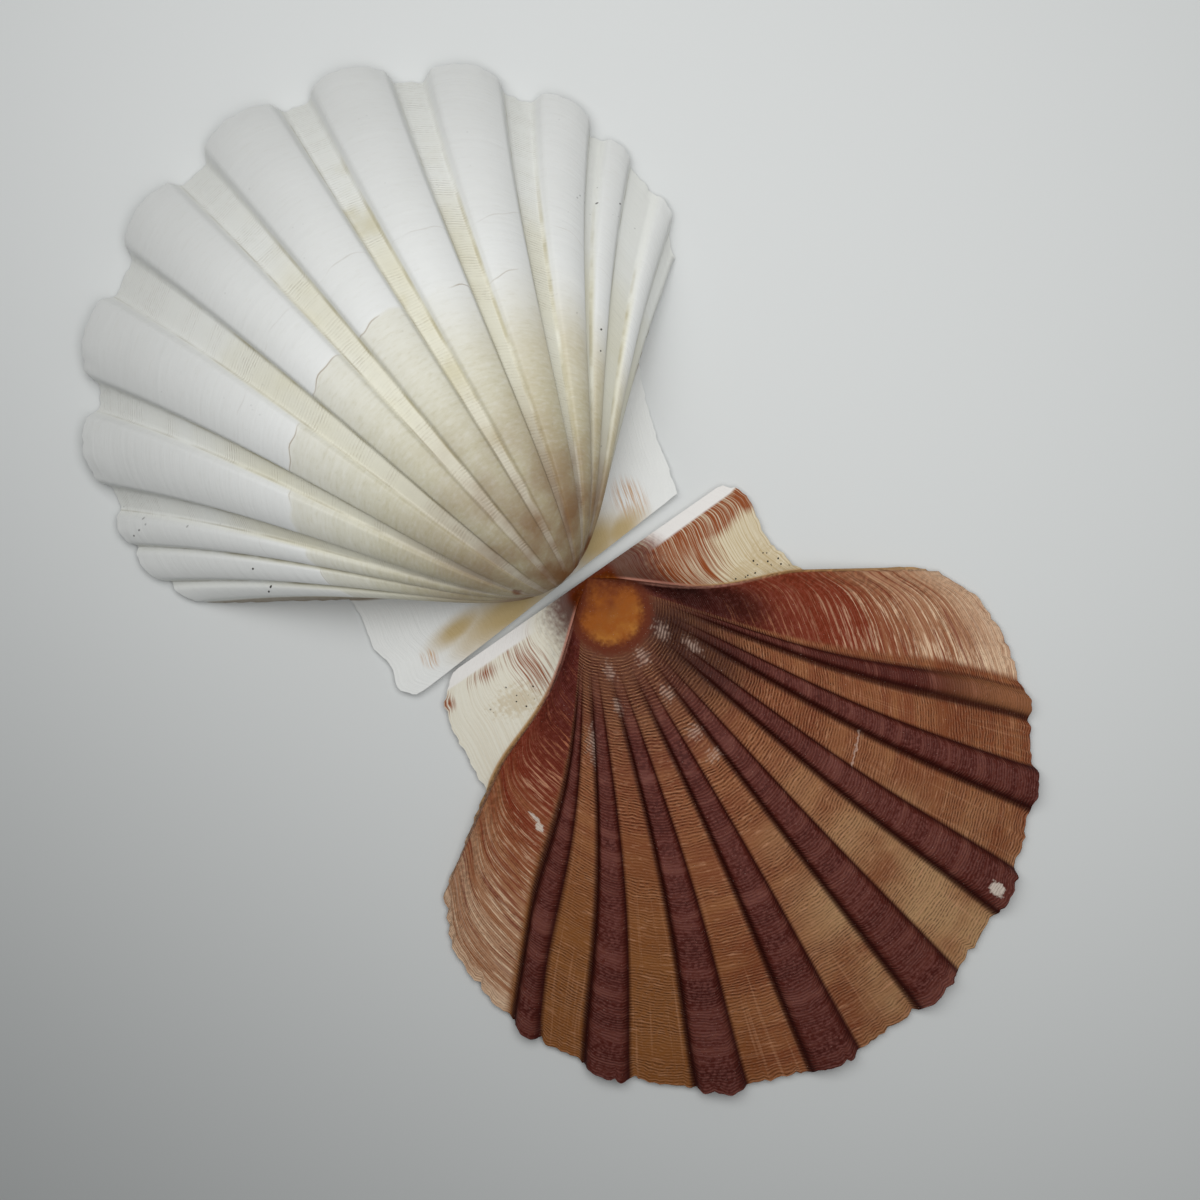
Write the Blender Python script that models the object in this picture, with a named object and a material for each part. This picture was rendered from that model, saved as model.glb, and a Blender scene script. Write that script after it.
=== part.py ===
# The two valves of a scallop shell, outsides up, hinge edges side by side.
# Metres, +Z up, resting on z = 0.  The tables give millimetres and degrees.
#
# A scallop grows by adding to its edge, so each valve is one edge curve that is
# scaled down towards the beak.  In the deep white valve the edge also turns
# about the hinge as it shrinks, which makes the dome and the curled beak.

import math

import bmesh
import bpy
import numpy as np
from mathutils import Vector
from mathutils.bvhtree import BVHTree

mm = 0.001

# Both valves.  A growth stage is the size of the edge then, as a share of today's.
ear_height = 16.0
hinge_thickness = 1.2
growth_stages = [0.10, 0.14, 0.19, 0.25, 0.32, 0.40, 0.49, 0.59, 0.70, 0.81, 0.91, 1.0]
corner_width = 3.0
half_grown_ear = 0.5

# The hollow side is drawn in from the edge in rings, as shares of the way out
first_ring = 0.985
hollow_rings = [0.95, 0.89, 0.81, 0.71, 0.59, 0.46, 0.32, 0.17]
arch_share = 0.8
feeler_ways = 8
feeler_reach = 2.2
table_hair = 0.3
hollow_smoothing = 4

# Deep white valve.  Each rib is its middle, its half width and its height share;
# outlines run from the hinge corner to the notch, in the valve's own hinge frame.
white = {
    "name": "white_valve",
    "hinge_middle": (-2.6, -1.9),
    "turn": 2.95,
    "side": 1,
    "beak": (1.0, 3.0),
    "disc_centre": (2.8, 36.2),
    "disc_radii": (44.3, 42.8),
    "disc_from": -57.0,
    "disc_to": 60.8,
    "corner_rounding": 2.9,
    "left_ear": [(-23.2, 0.0), (-24.9, 2.2), (-23.5, 5.3), (-24.1, 9.0), (-22.6, 13.6), (-22.6, 16.6)],
    "right_ear": [(23.2, 0.0), (24.8, 4.4), (26.2, 9.0), (28.0, 13.2), (30.6, 18.3)],
    "ribs": [
        (-55.2, 1.5, 0.35), (-50.7, 2.3, 0.50), (-45.8, 2.1, 0.60),
        (-36.2, 4.1, 1.0), (-23.9, 4.6, 1.0), (-9.6, 4.4, 1.0), (3.8, 4.6, 1.0),
        (16.5, 4.4, 1.0), (29.0, 4.2, 1.0), (40.5, 3.4, 0.95),
        (48.0, 2.0, 0.55), (56.5, 1.7, 0.40),
    ],
    "rib_edge": 1.5,
    "rib_out": 1.7,
    "rib_up": 1.6,
    "rib_fade": (0.04, 0.30),
    "edge_height": 0.5,
    "wall": 1.5,
    "colour": (0.72, 0.71, 0.65),
    "roughness": 0.42,
}
coil_rate = 0.85
coil_axis_back = 2.6
coil_axis_ramp = (4.0, 44.0)
ear_turn_share = 0.45
ear_turn_ramp = (14.0, 30.0)
beak_aside = 2.2

# Flat brown valve
brown = {
    "name": "brown_valve",
    "hinge_middle": (3.4, -3.2),
    "turn": 0.0,
    "side": -1,
    "beak": (-0.3, 0.1),
    "disc_centre": (-0.8, 33.4),
    "disc_radii": (44.4, 42.0),
    "disc_from": -59.2,
    "disc_to": 56.4,
    "corner_rounding": 2.2,
    "left_ear": [(-23.2, 0.0), (-26.4, 2.7), (-27.9, 6.2), (-28.0, 10.4), (-28.9, 16.4)],
    "right_ear": [(23.2, 0.0), (25.2, 3.4), (24.2, 7.6), (24.0, 11.6), (25.4, 16.6)],
    "ribs": [
        (-42.9, 2.2, 1.0), (-32.7, 2.4, 1.0), (-20.1, 2.5, 1.0), (-7.6, 2.5, 1.0),
        (5.6, 2.6, 1.0), (18.4, 2.3, 1.0), (30.3, 2.3, 1.0), (39.4, 1.9, 0.9),
    ],
    "rib_edge": 1.4,
    "rib_out": 0.7,
    "rib_up": 1.1,
    "rib_fade": (0.12, 0.45),
    "edge_height": 1.0,
    "wall": 1.3,
    "colour": (0.25, 0.10, 0.06),
    "roughness": 0.38,
}
crown_height = 3.0
crown_stage_power = 0.8
umbo_dip = 1.4
umbo_dip_stage = 0.17
umbo_dip_width = 0.12
shoulder_fold = 1.7
shoulder_fold_stage = 0.24
shoulder_fold_width = 6.5
ventral_sag = 1.9
middle_pinch = 0.04
sag_reach = (30.0, 75.0)
sag_angles = (30.0, 55.0)


def smooth_step(low, high, value):
    share = np.clip((value - low) / (high - low), 0.0, 1.0)
    return share * share * (3.0 - 2.0 * share)


# Rib height share at a polar angle: flat on top, falling over one edge width
def rib_share(valve, angle):
    share = np.zeros_like(angle)
    half_edge = valve["rib_edge"] / 2
    for middle, half_width, height in valve["ribs"]:
        away = np.abs(angle - middle)
        top = 1.0 - smooth_step(half_width - half_edge, half_width + half_edge, away)
        share = np.maximum(share, height * top)
    return share


# Where a ray from the beak meets the oval disc, eased at the two disc corners
def disc_edge(valve, angle):
    beak_x, beak_y = valve["beak"]
    radius_x, radius_y = valve["disc_radii"]
    along_x = np.sin(np.radians(angle)) / radius_x
    along_y = np.cos(np.radians(angle)) / radius_y
    from_x = (beak_x - valve["disc_centre"][0]) / radius_x
    from_y = (beak_y - valve["disc_centre"][1]) / radius_y
    square = along_x ** 2 + along_y ** 2
    slope = along_x * from_x + along_y * from_y
    rest = from_x ** 2 + from_y ** 2 - 1.0
    reach = (-slope + np.sqrt(slope ** 2 - square * rest)) / square
    for corner in (valve["disc_from"], valve["disc_to"]):
        near = np.exp(-((angle - corner) / corner_width) ** 2)
        reach = reach - valve["corner_rounding"] * near
    edge_x = beak_x + reach * np.sin(np.radians(angle))
    edge_y = beak_y + reach * np.cos(np.radians(angle))
    return edge_x, edge_y


# Polar angles of the radial lines: feet, top edges and middles of the ribs
def disc_angles(valve):
    half_edge = valve["rib_edge"] / 2
    angles = [valve["disc_from"], valve["disc_to"]]
    for middle, half_width, height in valve["ribs"]:
        angles += [middle - half_width - half_edge, middle, middle + half_width + half_edge]
        if half_width > 2 * half_edge:
            angles += [middle - half_width + half_edge, middle + half_width - half_edge]
    angles.sort()
    closest = 0.8
    widest = 5.0
    kept = [angles[0]]
    for angle in angles[1:]:
        if angle - kept[-1] > widest:
            kept.append((angle + kept[-1]) / 2)
        if angle - kept[-1] > closest:
            kept.append(angle)
    return np.array(kept)


# The edge from one hinge corner round to the other, one row of x, y, rib share
# for each radial line; the straight shoulders lie between the notches and the disc
def edge_curve(valve):
    angles = disc_angles(valve)
    disc_x, disc_y = disc_edge(valve, angles)
    disc = list(zip(disc_x, disc_y, rib_share(valve, angles)))
    left = [(x, y, 0.0) for x, y in valve["left_ear"]]
    right = [(x, y, 0.0) for x, y in reversed(valve["right_ear"])]
    return np.array(left + shoulder(left[-1], disc[0]) + disc + shoulder(disc[-1], right[0]) + right)


def shoulder(start, end):
    between = []
    for share in (1 / 3, 2 / 3):
        x = start[0] + share * (end[0] - start[0])
        y = start[1] + share * (end[1] - start[1])
        between.append((x, y, 0.0))
    return between


# Plan direction in which the ribs stand out at the edge
def outward(valve, edge):
    away = edge[:, :2] - np.array(valve["disc_centre"])
    return away / np.linalg.norm(away, axis=1, keepdims=True)


# Deep valve: the edge shrinks towards the beak and turns up and over the hinge
def white_outside(edge):
    out = outward(white, edge)
    disc = smooth_step(0.0, ear_height, edge[:, 1])
    back = coil_axis_back * smooth_step(*coil_axis_ramp, edge[:, 1])
    turn_share = 1.0 - smooth_step(*ear_turn_ramp, edge[:, 1])
    turn_share = 1.0 - turn_share * (1.0 - ear_turn_share)
    rows = []
    for stage in growth_stages:
        turn = -coil_rate * math.log(stage) * turn_share
        rib = edge[:, 2] * smooth_step(*white["rib_fade"], stage)
        reach_x = edge[:, 0] + out[:, 0] * rib * white["rib_out"]
        reach_y = edge[:, 1] + out[:, 1] * rib * white["rib_out"] - back
        reach_z = rib * white["rib_up"]
        x = beak_aside * (1.0 - stage) + stage * reach_x
        y = back + stage * (reach_y * np.cos(turn) - reach_z * np.sin(turn))
        z = stage * (reach_y * np.sin(turn) + reach_z * np.cos(turn))
        thinned = disc * smooth_step(half_grown_ear, 1.0, stage)
        z = z + hinge_thickness + thinned * (white["edge_height"] - hinge_thickness)
        rows.append(np.stack([x, y, z], axis=1))
    return np.array(rows)


# Flat valve: low crown, a dip at the umbo and a raised fold along each shoulder
def brown_outside(edge):
    out = outward(brown, edge)
    disc = smooth_step(0.35 * ear_height, 1.6 * ear_height, edge[:, 1])
    notches = np.array([brown["left_ear"][-1], brown["right_ear"][-1]])
    from_notch = np.linalg.norm(edge[:, None, :2] - notches[None], axis=2).min(axis=1)
    fold = shoulder_fold * np.exp(-(from_notch / shoulder_fold_width) ** 2)
    off_hinge = smooth_step(0.0, ear_height, edge[:, 1])
    angle = np.degrees(np.arctan2(np.abs(edge[:, 0]), edge[:, 1]))
    aside = smooth_step(*sag_angles, angle)
    sag_end = sag_reach[1] + aside * (sag_reach[0] - sag_reach[1])
    reach = np.hypot(edge[:, 0], edge[:, 1])
    rows = []
    for stage in growth_stages:
        rib = edge[:, 2] * smooth_step(*brown["rib_fade"], stage)
        along = np.minimum(stage * reach / sag_end, 1.0)
        midway = 16.0 * along ** 2 * (1.0 - along) ** 2 * off_hinge
        x = stage * (edge[:, 0] + out[:, 0] * rib * brown["rib_out"])
        x = x * (1.0 - middle_pinch * midway)
        y = stage * (edge[:, 1] + out[:, 1] * rib * brown["rib_out"])
        y = y + ventral_sag * midway
        crown = crown_height * math.sin(math.pi * stage ** crown_stage_power)
        dip = umbo_dip * math.exp(-((stage - umbo_dip_stage) / umbo_dip_width) ** 2)
        ridge = fold * math.exp(-((stage - shoulder_fold_stage) / shoulder_fold_stage) ** 2)
        z = hinge_thickness + disc * (crown - dip) + ridge
        z = z + rib * brown["rib_up"] * math.sqrt(stage)
        thinned = disc * smooth_step(half_grown_ear, 1.0, stage)
        z = z + thinned * (brown["edge_height"] - hinge_thickness)
        rows.append(np.stack([x, y, z], axis=1))
    return np.array(rows)


# From the valve's own hinge frame to its place beside the other valve, in metres
def place(valve, point):
    turn = math.radians(valve["turn"])
    x = point[0]
    y = point[1] * valve["side"]
    return Vector((
        (x * math.cos(turn) - y * math.sin(turn) + valve["hinge_middle"][0]) * mm,
        (x * math.sin(turn) + y * math.cos(turn) + valve["hinge_middle"][1]) * mm,
        point[2] * mm,
    ))


# The outside: a grid primitive whose first row is drawn together at the beak
def add_outside(mesh, valve, outside, beak_point):
    rows, columns = outside.shape[0], outside.shape[1]
    made = bmesh.ops.create_grid(mesh, x_segments=columns - 1, y_segments=rows, size=1.0)
    corners = sorted(made["verts"], key=lambda v: (round(v.co.y, 6), round(v.co.x, 6)))
    tip = place(valve, beak_point)
    for index, corner in enumerate(corners):
        row, column = divmod(index, columns)
        corner.co = tip if row == 0 else place(valve, outside[row - 1, column])
    bmesh.ops.pointmerge(mesh, verts=corners[:columns], merge_co=tip)


# Height of the hollow over a point: a wall's thickness under the lowest outside
# that straight feelers meet around it, or the table where the shell is thinner
def hollow_height(skin, place_xy, wall):
    heights = []
    for step in range(2 * feeler_ways + 1):
        reach = wall * feeler_reach * math.ceil(step / feeler_ways) / 2
        angle = 2.0 * math.pi * step / feeler_ways
        start = Vector((
            place_xy.x + reach * math.cos(angle),
            place_xy.y + reach * math.sin(angle),
            -wall,
        ))
        met = skin.ray_cast(start, Vector((0.0, 0.0, 1.0)))[0]
        if met:
            heights.append(met.z)
    lowest = min(heights, default=0.0)
    if lowest - wall < table_hair * mm:
        return 0.0
    return lowest - wall


# The hollow side: the rim drawn inwards ring by ring and closed at the middle, then
# smoothed without ever coming nearer to the outside
def add_hollow(mesh, valve):
    wall = valve["wall"] * mm
    skin = BVHTree.FromBMesh(mesh)
    middle = place(valve, (*valve["disc_centre"], 0.0))
    rim = [edge for edge in mesh.edges if edge.is_boundary]
    hollow = []
    before = 1.0
    for share in [first_ring] + hollow_rings:
        grown = bmesh.ops.extrude_edge_only(mesh, edges=rim)["geom"]
        ring = [item for item in grown if isinstance(item, bmesh.types.BMVert)]
        rim = [item for item in grown if isinstance(item, bmesh.types.BMEdge) and item.is_boundary]
        for corner in ring:
            corner.co.x = middle.x + (corner.co.x - middle.x) * share / before
            corner.co.y = middle.y + (corner.co.y - middle.y) * share / before
            if share == first_ring:
                corner.co.z = arch_share * max(0.0, corner.co.z - hinge_thickness * mm)
            else:
                corner.co.z = hollow_height(skin, corner.co, wall)
        before = share
        if share < hollow_rings[0]:
            hollow += ring
    top = Vector((middle.x, middle.y, hollow_height(skin, middle, wall)))
    made = bmesh.ops.extrude_edge_only(mesh, edges=rim)["geom"]
    last = [item for item in made if isinstance(item, bmesh.types.BMVert)]
    bmesh.ops.pointmerge(mesh, verts=last, merge_co=top)
    felt = [corner.co.z for corner in hollow]
    for _ in range(hollow_smoothing):
        bmesh.ops.smooth_vert(mesh, verts=hollow, factor=0.5, use_axis_z=True)
        for corner, height in zip(hollow, felt):
            corner.co.z = min(corner.co.z, height)


def make_material(valve):
    material = bpy.data.materials.new(valve["name"] + "_shell")
    material.use_nodes = True
    shader = material.node_tree.nodes["Principled BSDF"]
    shader.inputs["Base Color"].default_value = (*valve["colour"], 1.0)
    shader.inputs["Roughness"].default_value = valve["roughness"]
    shader.inputs["Metallic"].default_value = 0.0
    return material


def add_valve(valve, outside, beak_point, collection):
    mesh = bmesh.new()
    add_outside(mesh, valve, outside, beak_point)
    add_hollow(mesh, valve)
    bmesh.ops.triangulate(mesh, faces=mesh.faces[:])
    bmesh.ops.recalc_face_normals(mesh, faces=mesh.faces[:])
    data = bpy.data.meshes.new(valve["name"])
    mesh.to_mesh(data)
    mesh.free()
    for polygon in data.polygons:
        polygon.use_smooth = True
    data.materials.append(make_material(valve))
    collection.objects.link(bpy.data.objects.new(valve["name"], data))


for thing in list(bpy.data.objects):
    bpy.data.objects.remove(thing, do_unlink=True)

shell = bpy.data.collections.new("pecten_albicans_shell")
bpy.context.scene.collection.children.link(shell)

add_valve(white, white_outside(edge_curve(white)), (beak_aside, 0.0, hinge_thickness), shell)
add_valve(brown, brown_outside(edge_curve(brown)), (0.0, 0.0, hinge_thickness), shell)
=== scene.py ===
import math

import bpy
import numpy as np
from mathutils import Matrix, Vector
from mathutils.bvhtree import BVHTree


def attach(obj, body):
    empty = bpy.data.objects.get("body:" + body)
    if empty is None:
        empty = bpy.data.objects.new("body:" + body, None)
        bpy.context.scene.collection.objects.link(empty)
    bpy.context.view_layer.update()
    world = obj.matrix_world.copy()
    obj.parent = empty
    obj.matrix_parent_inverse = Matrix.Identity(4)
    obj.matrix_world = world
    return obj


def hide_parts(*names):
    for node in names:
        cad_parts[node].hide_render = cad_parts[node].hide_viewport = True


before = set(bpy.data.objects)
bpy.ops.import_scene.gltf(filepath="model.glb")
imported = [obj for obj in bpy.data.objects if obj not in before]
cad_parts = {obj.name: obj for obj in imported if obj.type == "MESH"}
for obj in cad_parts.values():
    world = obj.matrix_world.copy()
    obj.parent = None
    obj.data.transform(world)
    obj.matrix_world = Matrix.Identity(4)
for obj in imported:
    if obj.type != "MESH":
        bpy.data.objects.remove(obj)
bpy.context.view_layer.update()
scene = bpy.context.scene
scene.view_settings.view_transform = "Standard"
print("frame loaded")

mm = 0.001

# Shared by both valves. A stage is the size that the shell once had, as a share of today's
growthPlan = {
    "fullReach": 77.0,         # mm grown at today's edge, one scale for both paints
    "earHeight": 16.0,
    "hingeThickness": 1.2,
    "firstStage": 0.10,        # the smallest edge drawn
    "leastStage": 0.02,
    "growthRows": 132,
    "discColumns": 330,
    "wallColumns": 2.2,        # how much closer the columns stand on the rib sides
    "earStep": 0.6,            # mm between columns on the ears
    "cornerWidth": 3.0,        # degrees
    "thinFrom": 0.5,           # the disc thins from here on
    "raggedFrom": 0.95,        # only the newest shell is ragged
    "edgeWaves": (9.3, 5.1, 2.9, 1.9),     # mm along the edge
    "biteWaves": (3.7, 2.3, 1.43),
    "biteLevel": -0.35,
    "biteShare": 1.6,
    "firstRing": 0.985,        # rings of the hollow side, as shares of the rim
    "secondRing": 0.965,
    "lastRing": 0.05,
    "hollowRings": 34,
    "archShare": 0.8,
    "feelerWays": 8,
    "feelerRings": 2,
    "feelerReach": 2.2,        # in wall thicknesses
    "tableHair": 0.3,          # a lower hollow is closed down to the table
    "hollowSmoothing": 60,
}

# Deep right valve. A rib is its middle, half width and height share
whiteValve = {
    "name": "white_valve",
    "slot": "white_shell",
    "hingeMiddle": (-2.6, -1.9),
    "turn": 2.95,
    "side": 1,
    "beak": (1.0, 3.0),
    "discCentre": (2.8, 36.2),
    "discRadii": (44.3, 42.8),
    "discFrom": -57.0,
    "discTo": 60.8,
    "cornerRounding": 2.9,
    "leftEar": [(-23.2, 0.0), (-24.9, 2.2), (-23.5, 5.3), (-24.1, 9.0), (-22.6, 13.6), (-22.6, 16.6)],
    "rightEar": [(23.2, 0.0), (24.8, 4.4), (26.2, 9.0), (28.0, 13.2), (30.6, 18.3)],
    "lobe": 0.5,               # mm that a rib's middle stands out at today's edge
    "lobeFrom": 0.90,
    "lobeBase": 0.25,
    "ribs": [
        (-55.2, 1.5, 0.35), (-50.7, 2.3, 0.50), (-45.8, 2.1, 0.60),
        (-36.2, 4.1, 1.0), (-23.9, 4.6, 1.0), (-9.6, 4.4, 1.0), (3.8, 4.6, 1.0),
        (16.5, 4.4, 1.0), (29.0, 4.2, 1.0), (40.5, 3.4, 0.95),
        (48.0, 2.0, 0.55), (56.5, 1.7, 0.40),
    ],
    "ribEdge": 1.2,
    "ribTop": 1.14,
    "ribShoulder": 0.60,       # height at the rib's sides, as a share of its middle
    "ribOut": 1.7,
    "ribUp": 1.6,
    "ribFade": (0.04, 0.30),
    "edgeHeight": 0.5,
    "wall": 1.5,
    "coilRate": 0.85,
    "coilAxisBack": 2.6,
    "coilAxisRamp": (4.0, 44.0),
    "earTurnShare": 0.45,
    "earTurnRamp": (14.0, 30.0),
    "beakAside": 2.2,
    "raggedness": 0.22,        # mm at the edge
    "breakStage": 0.556,       # a halt in growth crosses the wide ribs here
    "breakShifts": [(0.05, 20.0, 37.0), (-0.02, 36.0, 50.0)],  # stages, from angle to angle
    "breakWaver": 0.0045,
    "breakWaves": (12.3, 7.1, 4.3),        # degrees
    "breakSeed": 21,
    "breakHeight": 0.16,
    "seed": 4,
}

# Flat left valve
brownValve = {
    "name": "brown_valve",
    "slot": "brown_shell",
    "hingeMiddle": (3.4, -3.2),
    "turn": 0.0,
    "side": -1,
    "beak": (-0.3, 0.1),
    "discCentre": (-0.8, 33.4),
    "discRadii": (44.4, 42.0),
    "discFrom": -59.2,
    "discTo": 56.4,
    "cornerRounding": 2.9,
    "leftEar": [(-23.2, 0.0), (-26.4, 2.7), (-27.9, 6.2), (-28.0, 10.4), (-28.9, 16.4)],
    "rightEar": [(23.2, 0.0), (25.2, 3.4), (24.2, 7.6), (24.0, 11.6), (25.4, 16.6)],
    "rightShoulder": [(39.0, 25.6), (36.3, 23.6), (30.6, 20.5)],
    "ribs": [
        (-42.6, 1.5, 0.9), (-32.7, 2.3, 1.0), (-20.1, 2.5, 1.0), (-7.6, 2.5, 1.0),
        (5.6, 2.6, 1.0), (18.4, 2.3, 1.0), (30.0, 2.0, 1.0), (39.2, 1.3, 0.65),
    ],
    "ribEdge": 1.4,
    "ribTop": 1.15,
    "ribShoulder": 0.70,
    "ribOut": 0.7,
    "ribUp": 1.1,
    "ribFade": (0.12, 0.45),
    "edgeHeight": 1.0,
    "wall": 1.3,
    "crownHeight": 3.0,
    "crownPower": 0.8,
    "crownRamp": (5.6, 25.6),              # mm off the hinge line
    "umboDip": (1.4, 0.17, 0.12),          # depth, stage, width
    "shoulderFold": (1.7, 0.24, 6.5),      # height, stage, width in mm
    "patch": (-0.2, 5.2, 5.2, 5.4),        # amber patch: middle across and down, half sizes
    "ventralSag": 1.9,
    "middlePinch": 0.04,
    "sagReach": (30.0, 75.0),
    "sagAngles": (30.0, 55.0),
    "raggedness": 0.40,
    "seed": 9,
}


def easeStep(low, high, value):
    share = np.clip((value - low) / (high - low), 0.0, 1.0)
    return share * share * (3.0 - 2.0 * share)


def ripple(along, lengths, seed):  # uneven waves of the given lengths, within about -1..1
    chance = np.random.default_rng(seed)
    total = np.zeros_like(along)
    for length in lengths:
        total = total + np.sin(2.0 * math.pi * along / length + chance.uniform(0.0, 6.28))
    return total / len(lengths)


def ribShare(valve, angle):
    share = np.zeros_like(angle)
    halfEdge = valve["ribEdge"] / 2
    for middle, halfWidth, height in valve["ribs"]:
        away = np.abs(angle - middle)
        top = 1.0 - easeStep(halfWidth - halfEdge, halfWidth + halfEdge, away)
        crown = 1.0 - (1.0 - valve["ribShoulder"]) * np.minimum(away / halfWidth, 1.0) ** 2
        share = np.maximum(share, height * top * crown * valve["ribTop"])
    return share


def discEdge(valve, angle):  # where a ray from the beak meets the oval disc
    beakX, beakY = valve["beak"]
    radiusX, radiusY = valve["discRadii"]
    alongX = np.sin(np.radians(angle)) / radiusX
    alongY = np.cos(np.radians(angle)) / radiusY
    fromX = (beakX - valve["discCentre"][0]) / radiusX
    fromY = (beakY - valve["discCentre"][1]) / radiusY
    square = alongX ** 2 + alongY ** 2
    slope = alongX * fromX + alongY * fromY
    reach = (-slope + np.sqrt(slope ** 2 - square * (fromX ** 2 + fromY ** 2 - 1.0))) / square
    for corner in (valve["discFrom"], valve["discTo"]):
        reach = reach - valve["cornerRounding"] * np.exp(-((angle - corner) / growthPlan["cornerWidth"]) ** 2)
    return beakX + reach * np.sin(np.radians(angle)), beakY + reach * np.cos(np.radians(angle))


def discAngles(valve):  # columns close together on the rib sides, and one on each side's middle
    fine = np.linspace(valve["discFrom"], valve["discTo"], 4000)
    density = np.ones_like(fine)
    walls = []
    for middle, halfWidth, _ in valve["ribs"]:
        for side in (-1.0, 1.0):
            wall = middle + side * halfWidth
            density += growthPlan["wallColumns"] * np.exp(-((fine - wall) / valve["ribEdge"]) ** 2)
            walls += [wall, wall + side * valve["ribEdge"] / 2]
    run = np.cumsum(density)
    even = np.interp(np.linspace(run[0], run[-1], growthPlan["discColumns"]), run, fine)
    for wall in walls:
        even[np.argmin(np.abs(even - wall))] = wall
    return even


def ribRound(valve, angle):  # 1 on a rib's middle, 0 at its sides
    share = np.zeros_like(angle)
    for middle, halfWidth, height in valve["ribs"]:
        share = np.maximum(share, height * (1.0 - ((angle - middle) / halfWidth) ** 2))
    return share


def finePoints(points):  # extra points along a short outline, its corners eased
    points = np.array(points, dtype=float)
    run = np.concatenate([[0.0], np.cumsum(np.linalg.norm(np.diff(points, axis=0), axis=1))])
    count = max(3, int(round(run[-1] / growthPlan["earStep"])))
    spots = np.linspace(0.0, run[-1], count)
    line = np.stack([np.interp(spots, run, points[:, 0]), np.interp(spots, run, points[:, 1])], axis=1)
    for _ in range(2):
        line[1:-1] = 0.25 * line[:-2] + 0.5 * line[1:-1] + 0.25 * line[2:]
    return line


def edgeCurve(valve):  # x, y, rib share and roundness of each column, and the notch columns
    angles = discAngles(valve)
    discX, discY = discEdge(valve, angles)
    disc = np.stack([discX, discY], axis=1)
    left = finePoints(valve["leftEar"])
    right = finePoints(valve["rightEar"])[::-1]
    leftShoulder = finePoints([left[-1], disc[0]])[1:-1]
    rightShoulder = finePoints([disc[-1]] + valve.get("rightShoulder", []) + [right[0]])[1:-1]
    line = np.vstack([left, leftShoulder, disc, rightShoulder, right])
    share = np.zeros((len(line), 2))
    start = len(left) + len(leftShoulder)
    share[start:start + len(disc), 0] = ribShare(valve, angles)
    share[start:start + len(disc), 1] = ribRound(valve, angles)
    notches = (len(left) - 1, len(line) - len(right))
    return np.column_stack([line, share]), notches


def ragged(valve, edge):  # small bites and bumps of today's edge, in mm outwards
    run = np.concatenate([[0.0], np.cumsum(np.linalg.norm(np.diff(edge[:, :2], axis=0), axis=1))])
    plan = growthPlan
    waves = ripple(run, plan["edgeWaves"], valve["seed"])
    bites = ripple(run, plan["biteWaves"], valve["seed"] + 1)
    bites = np.minimum(bites, plan["biteLevel"]) - plan["biteLevel"]
    return valve["raggedness"] * (waves + plan["biteShare"] * bites)


def outward(valve, edge):
    away = edge[:, :2] - np.array(valve["discCentre"])
    return away / np.linalg.norm(away, axis=1, keepdims=True)


def plainAngles(valve, x, y):  # polar angle about the beak, in degrees
    return np.degrees(np.arctan2(x - valve["beak"][0], y - valve["beak"][1]))


def pastBreak(valve, angle, stage):  # mm grown since the halt that crosses the wide ribs
    halt = valve["breakStage"] + valve["breakWaver"] * ripple(angle, valve["breakWaves"], valve["breakSeed"])
    for shift, start, end in valve["breakShifts"]:
        halt = halt + shift * easeStep(start, end, angle)
    return (stage - halt) * growthPlan["fullReach"]


def whiteOutside(valve, edge, stages):  # the edge shrinks, and turns up and over the hinge
    out = outward(valve, edge)
    ragging = ragged(valve, edge)
    angle = plainAngles(valve, edge[:, 0], edge[:, 1])
    disc = easeStep(0.0, growthPlan["earHeight"], edge[:, 1])
    back = valve["coilAxisBack"] * easeStep(*valve["coilAxisRamp"], edge[:, 1])
    turnShare = 1.0 - easeStep(*valve["earTurnRamp"], edge[:, 1])
    turnShare = 1.0 - turnShare * (1.0 - valve["earTurnShare"])
    rows = []
    for stage in stages:
        turn = -valve["coilRate"] * math.log(stage) * turnShare
        rib = edge[:, 2] * easeStep(*valve["ribFade"], stage)
        push = rib * valve["ribOut"] + ragging * easeStep(growthPlan["raggedFrom"], 1.0, stage)
        lobe = valve["lobe"] * (edge[:, 3] - valve["lobeBase"])
        push = push + lobe * easeStep(valve["lobeFrom"], 1.0, stage)
        reachX = edge[:, 0] + out[:, 0] * push
        reachY = edge[:, 1] + out[:, 1] * push - back
        layer = valve["breakHeight"] * easeStep(-0.15, 0.3, pastBreak(valve, angle, stage))
        reachZ = rib * valve["ribUp"] + np.minimum(rib, 1.0) * layer
        x = valve["beakAside"] * (1.0 - stage) + stage * reachX
        y = back + stage * (reachY * np.cos(turn) - reachZ * np.sin(turn))
        z = stage * (reachY * np.sin(turn) + reachZ * np.cos(turn))
        thinned = disc * easeStep(growthPlan["thinFrom"], 1.0, stage)
        z = z + growthPlan["hingeThickness"] + thinned * (valve["edgeHeight"] - growthPlan["hingeThickness"])
        rows.append(np.stack([x, y, z], axis=1))
    return np.array(rows)


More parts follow.
